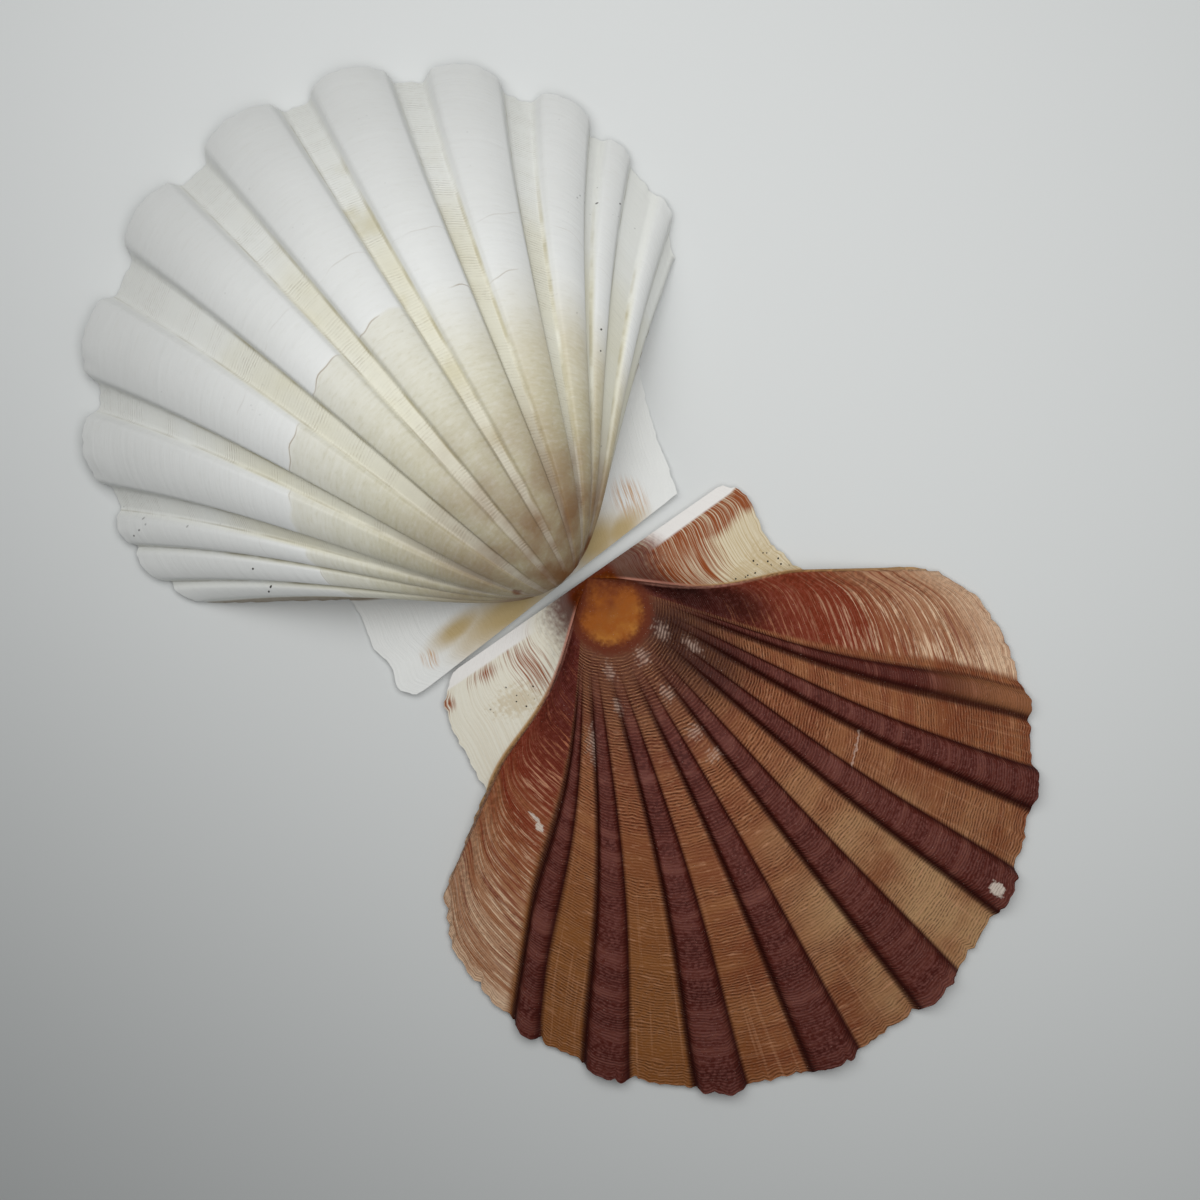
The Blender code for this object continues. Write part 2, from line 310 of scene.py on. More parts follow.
def brownOutside(valve, edge, stages):  # low crown, a dip at the umbo, a fold along each shoulder
    out = outward(valve, edge)
    ragging = ragged(valve, edge)
    disc = easeStep(*valve["crownRamp"], edge[:, 1])
    notches = np.array([valve["leftEar"][-1], valve["rightEar"][-1]])
    fromNotch = np.linalg.norm(edge[:, None, :2] - notches[None], axis=2).min(axis=1)
    foldHeight, foldStage, foldWidth = valve["shoulderFold"]
    fold = foldHeight * np.exp(-(fromNotch / foldWidth) ** 2)
    dipDepth, dipStage, dipWidth = valve["umboDip"]
    offHinge = easeStep(0.0, growthPlan["earHeight"], edge[:, 1])
    aside = easeStep(*valve["sagAngles"], np.degrees(np.arctan2(np.abs(edge[:, 0]), edge[:, 1])))
    sagEnd = valve["sagReach"][1] + aside * (valve["sagReach"][0] - valve["sagReach"][1])
    reach = np.hypot(edge[:, 0], edge[:, 1])
    rows = []
    for stage in stages:
        rib = edge[:, 2] * easeStep(*valve["ribFade"], stage)
        along = np.minimum(stage * reach / sagEnd, 1.0)
        midway = (4.0 * along * (1.0 - along)) ** 2 * offHinge      # 0 at both ends, 1 between
        push = rib * valve["ribOut"] + ragging * easeStep(growthPlan["raggedFrom"], 1.0, stage)
        x = stage * (edge[:, 0] + out[:, 0] * push) * (1.0 - valve["middlePinch"] * midway)
        y = stage * (edge[:, 1] + out[:, 1] * push) + valve["ventralSag"] * midway
        crown = valve["crownHeight"] * math.sin(math.pi * stage ** valve["crownPower"])
        dip = dipDepth * math.exp(-((stage - dipStage) / dipWidth) ** 2)
        ridge = fold * math.exp(-((stage - foldStage) / foldStage) ** 2)
        z = growthPlan["hingeThickness"] + disc * (crown - dip) + ridge
        z = z + rib * valve["ribUp"] * math.sqrt(stage)
        thinned = disc * easeStep(growthPlan["thinFrom"], 1.0, stage)
        z = z + thinned * (valve["edgeHeight"] - growthPlan["hingeThickness"])
        rows.append(np.stack([x, y, z], axis=1))
    return np.array(rows)


def hollowHeight(skin, x, y, wall):  # a wall's thickness under the lowest outside felt around
    ways, feelerRings = growthPlan["feelerWays"], growthPlan["feelerRings"]
    lowest = None
    for step in range(feelerRings * ways + 1):
        reach = wall * growthPlan["feelerReach"] * math.ceil(step / ways) / feelerRings
        angle = 2.0 * math.pi * step / ways
        start = Vector((x + reach * math.cos(angle), y + reach * math.sin(angle), -wall))
        met = skin.ray_cast(start, Vector((0.0, 0.0, 1.0)))[0]
        if met and (lowest is None or met.z < lowest):
            lowest = met.z
    if lowest is None or lowest - wall < growthPlan["tableHair"]:
        return 0.0
    return lowest - wall


def hollowSide(valve, rim, skin):  # the rim drawn inwards ring by ring, then smoothed downwards
    middle = np.array(valve["discCentre"])
    plan = growthPlan
    shares = np.linspace(plan["secondRing"], plan["lastRing"], plan["hollowRings"] - 1)
    shares = np.concatenate([[plan["firstRing"]], shares])
    rings = np.zeros((len(shares), len(rim), 3))
    for row, share in enumerate(shares):
        rings[row, :, :2] = middle + (rim[:, :2] - middle) * share
        if row == 0:
            rings[row, :, 2] = plan["archShare"] * np.maximum(0.0, rim[:, 2] - plan["hingeThickness"])
        else:
            rings[row, :, 2] = [hollowHeight(skin, x, y, valve["wall"]) for x, y in rings[row, :, :2]]
    felt = rings[:, :, 2].copy()
    for _ in range(plan["hollowSmoothing"]):
        height = rings[:, :, 2]
        beside = (np.roll(height, 1, axis=1) + np.roll(height, -1, axis=1)) / 2
        across = height.copy()
        across[1:-1] = (height[:-2] + height[2:]) / 2
        rings[2:, :, 2] = np.minimum(0.5 * height + 0.25 * (beside + across), felt)[2:]
    return rings


def seat(valve, points):  # from the valve's own hinge frame to its place, in mm
    turn = math.radians(valve["turn"])
    x = points[:, 0]
    y = points[:, 1] * valve["side"]
    return np.stack([
        x * math.cos(turn) - y * math.sin(turn) + valve["hingeMiddle"][0],
        x * math.sin(turn) + y * math.cos(turn) + valve["hingeMiddle"][1],
        points[:, 2],
    ], axis=1)


def gridFaces(first, rows, columns, closed):
    faces = []
    for row in range(rows - 1):
        for column in range(columns if closed else columns - 1):
            a = first + row * columns + column
            b = first + row * columns + (column + 1) % columns
            faces.append((a, b, b + columns, a + columns))
    return faces


# Values at each point that the paints read: lengths in mm, angle in degrees
grownFields = ("grown", "angle", "fanX", "fanY", "ribHeight", "leftFoot", "rightFoot", "crease", "under")
farAway = 1000.0


def growValve(valve, outsideOf):
    edge, notches = edgeCurve(valve)
    stages = np.linspace(growthPlan["firstStage"], 1.0, growthPlan["growthRows"])
    outside = outsideOf(valve, edge, stages)
    rows, columns = outside.shape[:2]
    tip = np.array([valve.get("beakAside", 0.0), 0.0, growthPlan["hingeThickness"]])
    corners = np.vstack([outside.reshape(-1, 3), tip])
    tipIndex = rows * columns
    outer = gridFaces(0, rows, columns, False)
    outer += [(tipIndex, column + 1, column) for column in range(columns - 1)]
    skin = BVHTree.FromPolygons(corners.tolist(), outer)

    rimIndex = list(range((rows - 1) * columns, rows * columns))
    rimIndex += [row * columns + columns - 1 for row in range(rows - 2, -1, -1)]
    rimIndex += [tipIndex]
    rimIndex += [row * columns for row in range(rows - 1)]
    rings = hollowSide(valve, corners[rimIndex], skin)
    ringCount, around = rings.shape[:2]
    firstRing = tipIndex + 1
    middleIndex = firstRing + ringCount * around
    middle = np.array([*valve["discCentre"], rings[-1, :, 2].mean()])
    corners = np.vstack([corners, rings.reshape(-1, 3), middle])
    inner = []
    for spot in range(around):
        after = (spot + 1) % around
        inner.append((rimIndex[spot], rimIndex[after], firstRing + after, firstRing + spot))
    inner += gridFaces(firstRing, ringCount, around, True)
    last = middleIndex - around
    inner += [(last + spot, last + (spot + 1) % around, middleIndex) for spot in range(around)]

    # where each point grew: the edge laid out flat, as a fan
    fan = np.zeros((len(corners), 2))
    fan[:tipIndex] = (stages[:, None, None] * edge[None, :, :2]).reshape(-1, 2)
    fan[firstRing:] = corners[firstRing:, :2]
    hingeAngle = np.degrees(np.arctan2(edge[:, 0], edge[:, 1]))
    edgeReach = np.hypot(edge[:, 0], edge[:, 1])
    reach = np.hypot(fan[:, 0], fan[:, 1])
    order = np.argsort(hingeAngle)
    fanAngle = np.degrees(np.arctan2(fan[:, 0], fan[:, 1]))
    stage = reach / np.interp(fanAngle, hingeAngle[order], edgeReach[order])
    stage[:tipIndex] = np.repeat(stages, columns)
    edgeX, edgeY = (fan / np.maximum(stage, growthPlan["leastStage"])[:, None]).T
    angle = plainAngles(valve, edgeX, edgeY)

    # how far each point is inside the creases of the ears, and from the ribs' feet
    crease = np.full(len(corners), farAway)
    for notch, side in zip(notches, (1.0, -1.0)):
        along = edge[notch, :2] / np.linalg.norm(edge[notch, :2])
        away = side * (along[1] * fan[:, 0] - along[0] * fan[:, 1])
        crease = np.minimum(crease, away)

    onDisc = crease > -0.01
    share = np.where(onDisc, ribShare(valve, angle), 0.0)
    leftFoot = np.full(len(corners), farAway)
    rightFoot = np.full(len(corners), farAway)
    for ribMiddle, halfWidth, _ in valve["ribs"]:
        footAway = halfWidth + valve["ribEdge"] / 4
        leftFoot = np.minimum(leftFoot, np.abs(angle - ribMiddle + footAway))
        rightFoot = np.minimum(rightFoot, np.abs(angle - ribMiddle - footAway))
    toMm = np.radians(1.0) * np.maximum(reach, 1.0)
    under = np.zeros(len(corners))
    under[firstRing:] = 1.0

    mesh = bpy.data.meshes.new(valve["name"] + "_grown")
    placed = seat(valve, corners)
    faces = outer + inner
    if valve["side"] < 0:
        faces = [face[::-1] for face in faces]
    mesh.from_pydata((placed * mm).tolist(), [], faces)
    mesh.polygons.foreach_set("use_smooth", [True] * len(mesh.polygons))
    values = {
        "grown": stage * growthPlan["fullReach"],
        "angle": angle,
        "fanX": fan[:, 0],
        "fanY": fan[:, 1],
        "ribHeight": share,
        "leftFoot": leftFoot * toMm,
        "rightFoot": rightFoot * toMm,
        "crease": crease,
        "under": under,
    }
    values.update(valve["markings"](valve, angle, stage, fan))
    for name, numbers in values.items():
        field = mesh.attributes.new(name, "FLOAT", "POINT")
        field.data.foreach_set("value", numbers.astype(np.float32))
    sharp = mesh.attributes.new("sharp_edge", "BOOLEAN", "EDGE")
    rimPairs = {tuple(sorted((rimIndex[spot], rimIndex[(spot + 1) % around]))) for spot in range(around)}
    pairs = np.zeros(len(mesh.edges) * 2, dtype=np.int32)
    mesh.edges.foreach_get("vertices", pairs)
    pairs = np.sort(pairs.reshape(-1, 2), axis=1)
    sharp.data.foreach_set("value", [tuple(pair) in rimPairs for pair in pairs.tolist()])
    layOut(mesh, fan, len(outer))
    mesh.validate()
    piece = bpy.data.objects.new(valve["name"] + "_shell", mesh)
    scene.collection.objects.link(piece)
    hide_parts(valve["name"])
    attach(piece, "root")
    return piece


# Shares of the bake sheet: the outside takes the upper part, the hollow side the lower
sheetPlan = {"margin": 0.01, "outerFrom": 0.36, "innerTo": 0.33}


def layOut(mesh, fan, outerCount):
    margin, outerFrom, innerTo = sheetPlan["margin"], sheetPlan["outerFrom"], sheetPlan["innerTo"]
    low = fan.min(axis=0)
    size = fan.max(axis=0) - low
    even = (fan - low) / size
    loops = np.zeros(len(mesh.loops), dtype=np.int32)
    mesh.loops.foreach_get("vertex_index", loops)
    starts = np.zeros(len(mesh.polygons), dtype=np.int32)
    mesh.polygons.foreach_get("loop_start", starts)
    split = starts[outerCount]
    place = even[loops]
    place[:, 0] = margin + (1.0 - 2.0 * margin) * place[:, 0]
    place[:split, 1] = outerFrom + (1.0 - margin - outerFrom) * place[:split, 1]
    place[split:, 1] = margin + (innerTo - margin) * place[split:, 1]
    layer = mesh.uv_layers.new(name="OFBake")
    layer.data.foreach_set("uv", place.ravel())


def blob(across, along, spots):  # soft marks, each a middle and its half sizes: 1 to below 0
    total = np.full_like(across, -1.0)
    for middleAcross, middleAlong, halfAcross, halfAlong in spots:
        far = np.hypot((across - middleAcross) / halfAcross, (along - middleAlong) / halfAlong)
        total = np.maximum(total, 1.0 - far)
    return total


def whiteMarkings(valve, angle, stage, fan):
    # the beak's brown is strongest on its right, with two rust spots
    tint = (1.0 - easeStep(0.13, 0.46, stage)) * (0.7 + 0.3 * easeStep(-25.0, 20.0, angle))
    return {
        "pastBreak": pastBreak(valve, angle, stage),
        "beakTint": tint,
        "rustSpots": blob(angle, stage, [(-30.8, 0.150, 7.0, 0.016), (50.0, 0.206, 2.4, 0.030)]),
        "earTan": blob(fan[:, 0], fan[:, 1], [
            (-7.5, 1.5, 11.0, 4.5), (-14.0, 4.0, 6.0, 2.2), (8.0, 2.0, 8.0, 5.0), (13.0, 0.9, 6.0, 3.0),
        ]),
        "earRust": blob(fan[:, 0], fan[:, 1], [(16.6, 3.6, 3.6, 4.2), (-19.0, 3.0, 1.5, 2.0)]),
    }


def brownMarkings(valve, angle, stage, fan):
    patchX, patchY, patchWide, patchLong = valve["patch"]
    return {
        "patch": np.hypot((fan[:, 0] - patchX) / patchWide, (fan[:, 1] - patchY) / patchLong),
        "paleSpots": blob(angle, stage, [
            (-23.1, 0.180, 3.6, 0.020), (-23.1, 0.246, 2.7, 0.018), (-0.8, 0.248, 3.2, 0.018),
            (-0.3, 0.172, 5.0, 0.018), (23.4, 0.234, 3.0, 0.022), (-35.5, 0.334, 3.4, 0.040),
            (-0.4, 0.327, 3.0, 0.014), (0.4, 0.379, 2.6, 0.014), (20.0, 0.17, 6.0, 0.020),
        ]),
        # one chip at the edge, and one of two marks on the left flank
        "chip": blob(angle, stage, [
            (17.8, 0.968, 1.0, 0.022), (-46.6, 0.578, 1.0, 0.012), (-47.8, 0.566, 1.6, 0.006),
        ]),
        # painted shade on the far side of the dip beside the umbo
        "dusky": np.maximum(
            blob(angle, stage, [(50.0, 0.27, 13.0, 0.20), (60.0, 0.16, 22.0, 0.12)]),
            0.75 * blob(angle, stage, [(24.0, 0.23, 26.0, 0.18)]),
        ),
        "earRust": np.maximum(
            blob(fan[:, 0], fan[:, 1], [(12.0, 4.5, 8.5, 9.0), (19.5, 3.0, 8.0, 3.4), (25.0, 3.2, 3.5, 3.4)]),
            0.5 * blob(fan[:, 0], fan[:, 1], [
                (-14.0, 4.0, 4.6, 7.0), (-19.5, 2.6, 4.5, 1.8), (-26.0, 3.4, 2.2, 1.8),
            ]),
        ),
        "dots": blob(fan[:, 0], fan[:, 1], [
            (-18.4, 7.4, 4.2, 2.4), (22.4, 12.0, 2.0, 4.2),
            (18.6, 10.8, 4.6, 1.7), (24.0, 15.3, 2.6, 1.6),
        ]),
    }


whiteValve["markings"] = whiteMarkings
brownValve["markings"] = brownMarkings


def colour(hexCode):  # sRGB hex to linear
    parts = [int(hexCode[spot:spot + 2], 16) / 255.0 for spot in (1, 3, 5)]
    return tuple(p / 12.92 if p <= 0.04045 else ((p + 0.055) / 1.055) ** 2.4 for p in parts) + (1.0,)


def addNode(tree, kind, settings, links, output=0):
    node = tree.nodes.new("ShaderNode" + kind)
    for name, value in settings.items():
        setattr(node, name, value)
    for place, value in links.items():
        if isinstance(value, bpy.types.NodeSocket):
            tree.links.new(value, node.inputs[place])
        else:
            node.inputs[place].default_value = value
    return node.outputs[output]


def newMaterial(name):
    material = bpy.data.materials.new(name)
    material.use_nodes = True
    tree = material.node_tree
    tree.nodes.clear()
    return material, tree


# Settings used again and again by the paints
blend = {"data_type": "RGBA"}
soft = {"interpolation_type": "SMOOTHSTEP"}
times = {"operation": "MULTIPLY"}
plus = {"operation": "MULTIPLY_ADD"}

# Calcite of the deep valve, grown and a little worn: satin, nearly white, cream inside the
# growth halt, with a faint brown beak and fine plates across the grooves
whiteLooks = {
    "ribWhite": "#dcdddb",
    "ribGrey": "#d3d4d1",
    "innerCream": "#d2d0c2",
    "innerOlive": "#b5b093",
    "innerTan": "#b3a680",
    "grooveOuter": "#dbdcd7",
    "grooveCream": "#d0cdb9",
    "grooveInner": "#cfccba",
    "grooveStain": "#b9b18c",
    "beakBrown": "#76502e",
    "rust": "#6e3b1c",
    "earWhite": "#dfe0dd",
    "earTan": "#ab9156",
    "earStreak": "#b07a34",
    # scuffs, and olive painted shade at the ribs' left feet
    "grooveDirtAndFootShade": "#9c9166",
    "hairline": "#8d8468",
    "lineBrown": "#7c6238",
    "speck": "#2d2a22",
    "porcelain": "#f1eee7",
    "plateGap": 0.36,          # mm between the fine plates in the grooves, a little coarse to show
    "patches": {               # noise over the shell: mm from patch to patch, and detail
        "broad": (11.11, 3.0), "stain": (6.25, 4.0), "fine": (0.7692, 4.0),
        "broken": (4.545, 4.0), "specked": (7.143, 2.0), "sway": (2.857, 1.0),
    },
    "growthLines": {           # noise along the growth lines: mm from line to line, detail, roughness
        "lines": (1.111, 5.0, 0.65), "platy": (3.333, 4.0, 0.70),
    },
    "lineStretch": 0.05,
    "speckGap": 1.333,         # mm from speck to speck
    "fadedLine": 7.4,          # mm from the halt to the next line
    "stainAngle": 11.0,        # the grooves here keep most sand
    "roughness": (0.40, 0.53),
    "gloss": 0.35,
}

# Calcite of the flat valve: pigment in the outer layer, satin, with crosswise plates
brownLooks = {
    "spaceBrown": "#773d23",
    "spaceTan": "#8f5a36",
    "spaceOchre": "#7f4f24",
    "spacePale": "#ab8860",
    "spaceRed": "#6d341a",
    "spaceDusky": "#4c2a1e",
    "plateLight": "#c08c6a",
    "plateDark": "#2a0f07",
    "ribPurple": "#451913",
    "ribBrown": "#58251c",
    # painted highlight along the rib crests
    "ribCrestHighlight": "#6b3c35",
    # painted shade on the rib sides, also the dark arcs of the plates on the ribs
    "ribSideShadeAndArcs": "#34110e",
    "ribLine": "#855549",
    # painted shade along the rib feet, darkest at the left foot
    "ribFootShade": "#2c0b06",
    "flankDark": "#54211a",
    "flankRed": "#76301b",
    "flankTan": "#9c6844",
    "flankStreak": "#a86646",
    "flankPale": "#dcbe9f",
    "earCream": "#cfc3a8",
    "earGrey": "#d9d5c6",
    "earYellow": "#b09a70",
    "earStreak": "#86441f",
    "earDark": "#50201a",
    "hingeStrip": "#dfdcd8",
    "patchAmber": "#8e4c0f",
    "patchPale": "#b5762a",
    "patchRust": "#71330c",
    "patchRing": "#5c240a",
    # painted shade beside the umbo
    "dusk": "#230a06",
    "paleFleck": "#c9afa0",
    "chipWhite": "#cbbdb0",
    # painted highlight of the shoulder ridge
    "ridgeHighlightPink": "#b7806f",
    "ridgeHighlightOchre": "#b9905c",
    "speck": "#1c1712",
    "porcelain": "#eee6da",
    "innerBrown": "#8c5a44",
    "plateGap": 0.46,          # mm between the fine plates in the spaces, a little coarse to show
    "patches": {               # noise over the shell: mm from patch to patch, and detail
        "broad": (10.0, 4.0), "fine": (0.5556, 5.0), "grain": (0.2, 2.0),
        "sway": (3.333, 2.0), "clouds": (3.333, 3.0),
    },
    "growthLines": {           # noise along the growth lines: mm from line to line, detail, roughness
        "bands": (3.125, 5.0, 0.62), "platy": (5.0, 4.0, 0.50),
    },
    "lineStretch": 0.10,
    "dotGap": 0.7692,          # mm from dot to dot on the ears, a third of a millimetre each
    "ridgeGap": 1.25,          # mm between the pale streaks of the flanks
    "leftFlank": (-44.9, -46.1),           # degrees over which the flanks begin
    "rightFlank": (41.6, 42.8),
    "markGrown": 47.0,         # a pale growth mark: mm grown, and its middle angle
    "markAngle": 24.0,
    "roughness": (0.36, 0.54),
    "gloss": 0.08,
}


def openPaint(material, looks, markings):  # its tones, the values it reads, the flat place, and noise
    tree = material.node_tree
    tone = {name: colour(value) for name, value in looks.items() if isinstance(value, str)}
    field = {}
    for name in grownFields + markings:
        field[name] = addNode(tree, "Attribute", {"attribute_name": name}, {}, "Fac")
    place = addNode(tree, "CombineXYZ", {}, {"X": field["fanX"], "Y": field["fanY"]})
    drawnOut = addNode(tree, "Math", times, {0: field["angle"], 1: looks["lineStretch"]})
    growthLine = addNode(tree, "CombineXYZ", {}, {"X": drawnOut, "Y": field["grown"]})
    noise = {}
    for name, (size, detail) in looks["patches"].items():
        noise[name] = addNode(tree, "TexNoise", {}, {"Vector": place, "Scale": 1.0 / size, "Detail": detail})
    for name, (size, detail, rough) in looks["growthLines"].items():
        noise[name] = addNode(tree, "TexNoise", {}, {
            "Vector": growthLine, "Scale": 1.0 / size, "Detail": detail, "Roughness": rough,
        })
    return tone, field, place, noise


def closePaint(tree, looks, paint, high, fine, under):  # relief in mm, faint on the hollow side
    outerSide = addNode(tree, "MapRange", {}, {
        "Value": under, "From Min": 0.0, "From Max": 1.0, "To Min": 1.0, "To Max": 0.15,
    })
    relief = addNode(tree, "Bump", {}, {"Strength": outerSide, "Distance": mm, "Height": high})
    smooth, rough = looks["roughness"]
    wornRough = addNode(tree, "MapRange", {}, {
        "Value": fine, "From Min": 0.3, "From Max": 0.7, "To Min": smooth, "To Max": rough,
    })
    shader = addNode(tree, "BsdfPrincipled", {}, {
        "Base Color": paint, "Roughness": wornRough, "Normal": relief, "Metallic": 0.0, "IOR": 1.5,
        "Specular IOR Level": looks["gloss"],
    })
    tree.links.new(shader, tree.nodes.new("ShaderNodeOutputMaterial").inputs["Surface"])


def paintWhiteShell():
    looks = whiteLooks
    material, tree = newMaterial("wornCalciteWhite")
    markings = ("pastBreak", "beakTint", "rustSpots", "earTan", "earRust")
    tone, field, place, noise = openPaint(material, looks, markings)
    grown = field["grown"]
    broad, stain, fine, lines = (noise[name] for name in ("broad", "stain", "fine", "lines"))

    # ribs: cool white outside the halt, cream and olive inside, a little tan to the right
    ribPaint = addNode(tree, "Mix", blend, {0: broad, 6: tone["ribGrey"], 7: tone["ribWhite"]}, 2)
    lined = addNode(tree, "MapRange", {}, {"Value": lines, "From Min": 0.35, "From Max": 0.7})
    deeper = addNode(tree, "MapRange", {}, {"Value": grown, "From Min": 44.0, "From Max": 12.0})
    olive = addNode(tree, "Math", plus, {0: lined, 1: 0.30, 2: deeper})
    inner = addNode(tree, "Mix", blend, {0: olive, 6: tone["innerCream"], 7: tone["innerOlive"]}, 2)
    aside = addNode(tree, "MapRange", soft, {"Value": field["angle"], "From Min": 5.0, "From Max": 36.0})
    aside = addNode(tree, "Math", times, {0: aside, 1: stain})
    inner = addNode(tree, "Mix", blend, {0: aside, 6: inner, 7: tone["innerTan"]}, 2)
    old = addNode(tree, "MapRange", soft, {
        "Value": field["pastBreak"], "From Min": 0.35, "From Max": -0.35,
    })
    slow = addNode(tree, "MapRange", soft, {"Value": field["pastBreak"], "From Min": 3.0, "From Max": -9.0})
    onRight = addNode(tree, "MapRange", soft, {"Value": field["angle"], "From Min": 6.0, "From Max": 16.0})
    old = addNode(tree, "Mix", {}, {0: onRight, 2: old, 3: slow})
    fading = addNode(tree, "MapRange", {}, {
        "Value": grown, "From Min": 46.0, "From Max": 30.0, "To Min": 0.55, "To Max": 1.0,
    })
    old = addNode(tree, "Math", times, {0: old, 1: fading})
    ribPaint = addNode(tree, "Mix", blend, {0: old, 6: ribPaint, 7: inner}, 2)

    # fine wear across the ribs, clearer on the older shell
    wearX = addNode(tree, "Math", times, {0: field["angle"], 1: 0.55})
    wearY = addNode(tree, "Math", times, {0: grown, 1: 2.8})
    wearPlace = addNode(tree, "CombineXYZ", {}, {"X": wearX, "Y": wearY})
    wear = addNode(tree, "TexNoise", {}, {
        "Vector": wearPlace, "Scale": 0.9, "Detail": 4.0, "Roughness": 0.6,
    })
    wornShare = addNode(tree, "Math", plus, {0: old, 1: 0.75, 2: 0.25})
    worn = addNode(tree, "MapRange", {}, {
        "Value": wear, "From Min": 0.49, "From Max": 0.68, "To Max": 0.20,
    })
    worn = addNode(tree, "Math", times, {0: worn, 1: wornShare})
    ribPaint = addNode(tree, "Mix", blend, {0: worn, 6: ribPaint, 7: tone["earWhite"]}, 2)
    scuffed = addNode(tree, "MapRange", {}, {
        "Value": wear, "From Min": 0.46, "From Max": 0.30, "To Max": 0.22,
    })
    scuffed = addNode(tree, "Math", times, {0: scuffed, 1: wornShare})
    ribPaint = addNode(tree, "Mix", blend, {0: scuffed, 6: ribPaint, 7: tone["grooveDirtAndFootShade"]}, 2)

    # grooves: cream where sand stayed, paler towards the edge and the beak
    outerShare = addNode(tree, "MapRange", soft, {"Value": grown, "From Min": 46.0, "From Max": 64.0})
    outerShare = addNode(tree, "Math", plus, {0: stain, 1: 1.1, 2: outerShare})
    outerShare = addNode(tree, "Math", {"operation": "SUBTRACT", "use_clamp": True}, {
        0: outerShare, 1: 0.30,
    })
    groove = addNode(tree, "Mix", blend, {0: outerShare, 6: tone["grooveCream"], 7: tone["grooveOuter"]}, 2)
    nearBeak = addNode(tree, "MapRange", soft, {"Value": grown, "From Min": 38.0, "From Max": 24.0})
    groove = addNode(tree, "Mix", blend, {0: nearBeak, 6: groove, 7: tone["grooveInner"]}, 2)

    stainAndShadeShare = addNode(tree, "MapRange", soft, {
        "Value": stain, "From Min": 0.42, "From Max": 0.66, "To Max": 0.60,
    })
    fromStain = addNode(tree, "Math", {"operation": "SUBTRACT"}, {0: field["angle"], 1: looks["stainAngle"]})
    fromStain = addNode(tree, "Math", {"operation": "ABSOLUTE"}, {0: fromStain})
    fromStain = addNode(tree, "MapRange", soft, {
        "Value": fromStain, "From Min": 16.0, "From Max": 5.0, "To Min": 0.12,
    })
    offEdge = addNode(tree, "MapRange", soft, {"Value": grown, "From Min": 70.0, "From Max": 58.0})
    for share in (fromStain, offEdge):
        stainAndShadeShare = addNode(tree, "Math", times, {0: stainAndShadeShare, 1: share})
    groove = addNode(tree, "Mix", blend, {0: stainAndShadeShare, 6: groove, 7: tone["grooveStain"]}, 2)

    # plates: fine lines across the grooves, in patches
    phase = addNode(tree, "Math", times, {0: grown, 1: 2.0 * math.pi / looks["plateGap"]})
    phase = addNode(tree, "Math", plus, {0: noise["sway"], 1: 8.0, 2: phase})
    plates = addNode(tree, "Math", {"operation": "SINE"}, {0: phase})
    inGroove = addNode(tree, "MapRange", soft, {
        "Value": field["ribHeight"], "From Min": 0.45, "From Max": 0.12,
    })
    onDisc = addNode(tree, "MapRange", soft, {"Value": field["crease"], "From Min": -0.3, "From Max": 0.6})
    strong = addNode(tree, "MapRange", soft, {
        "Value": noise["platy"], "From Min": 0.40, "From Max": 0.62, "To Min": 0.12,
    })
    uneven = addNode(tree, "MapRange", {}, {
        "Value": fine, "From Min": 0.36, "From Max": 0.60, "To Min": 0.15,
    })
    sides = addNode(tree, "Math", {"operation": "ABSOLUTE"}, {0: field["angle"]})
    inMiddle = addNode(tree, "MapRange", soft, {"Value": sides, "From Min": 47.0, "From Max": 41.0})
    for share in (inGroove, onDisc, uneven, inMiddle):
        strong = addNode(tree, "Math", times, {0: strong, 1: share})
    gaps = addNode(tree, "MapRange", {}, {
        "Value": plates, "From Min": -0.1, "From Max": -0.9, "To Max": 0.20,
    })
    gaps = addNode(tree, "Math", times, {0: gaps, 1: strong})
    groove = addNode(tree, "Mix", blend, {0: gaps, 6: groove, 7: tone["lineBrown"]}, 2)
    paint = addNode(tree, "Mix", blend, {0: inGroove, 6: ribPaint, 7: groove}, 2)

    # olive painted shade along a groove's right side, at each rib's left foot away from the light, and a
    # hairline along its left
    broken = addNode(tree, "MapRange", {}, {"Value": noise["broken"], "From Min": 0.40, "From Max": 0.60})
    nearShadedFoot = addNode(tree, "MapRange", soft, {
        "Value": field["leftFoot"], "From Min": 0.32, "From Max": 0.02,
    })
    midway = addNode(tree, "MapRange", soft, {
        "Value": grown, "From Min": 70.0, "From Max": 50.0, "To Max": 0.55,
    })
    footShade = nearShadedFoot
    for share in (broken, midway):
        footShade = addNode(tree, "Math", times, {0: footShade, 1: share})
    paint = addNode(tree, "Mix", blend, {0: footShade, 6: paint, 7: tone["grooveDirtAndFootShade"]}, 2)
    hair = addNode(tree, "MapRange", {}, {
        "Value": field["rightFoot"], "From Min": 0.15, "From Max": 0.05, "To Max": 0.42,
    })
    for share in (broken, onDisc):
        hair = addNode(tree, "Math", times, {0: hair, 1: share})
    paint = addNode(tree, "Mix", blend, {0: hair, 6: paint, 7: tone["hairline"]}, 2)

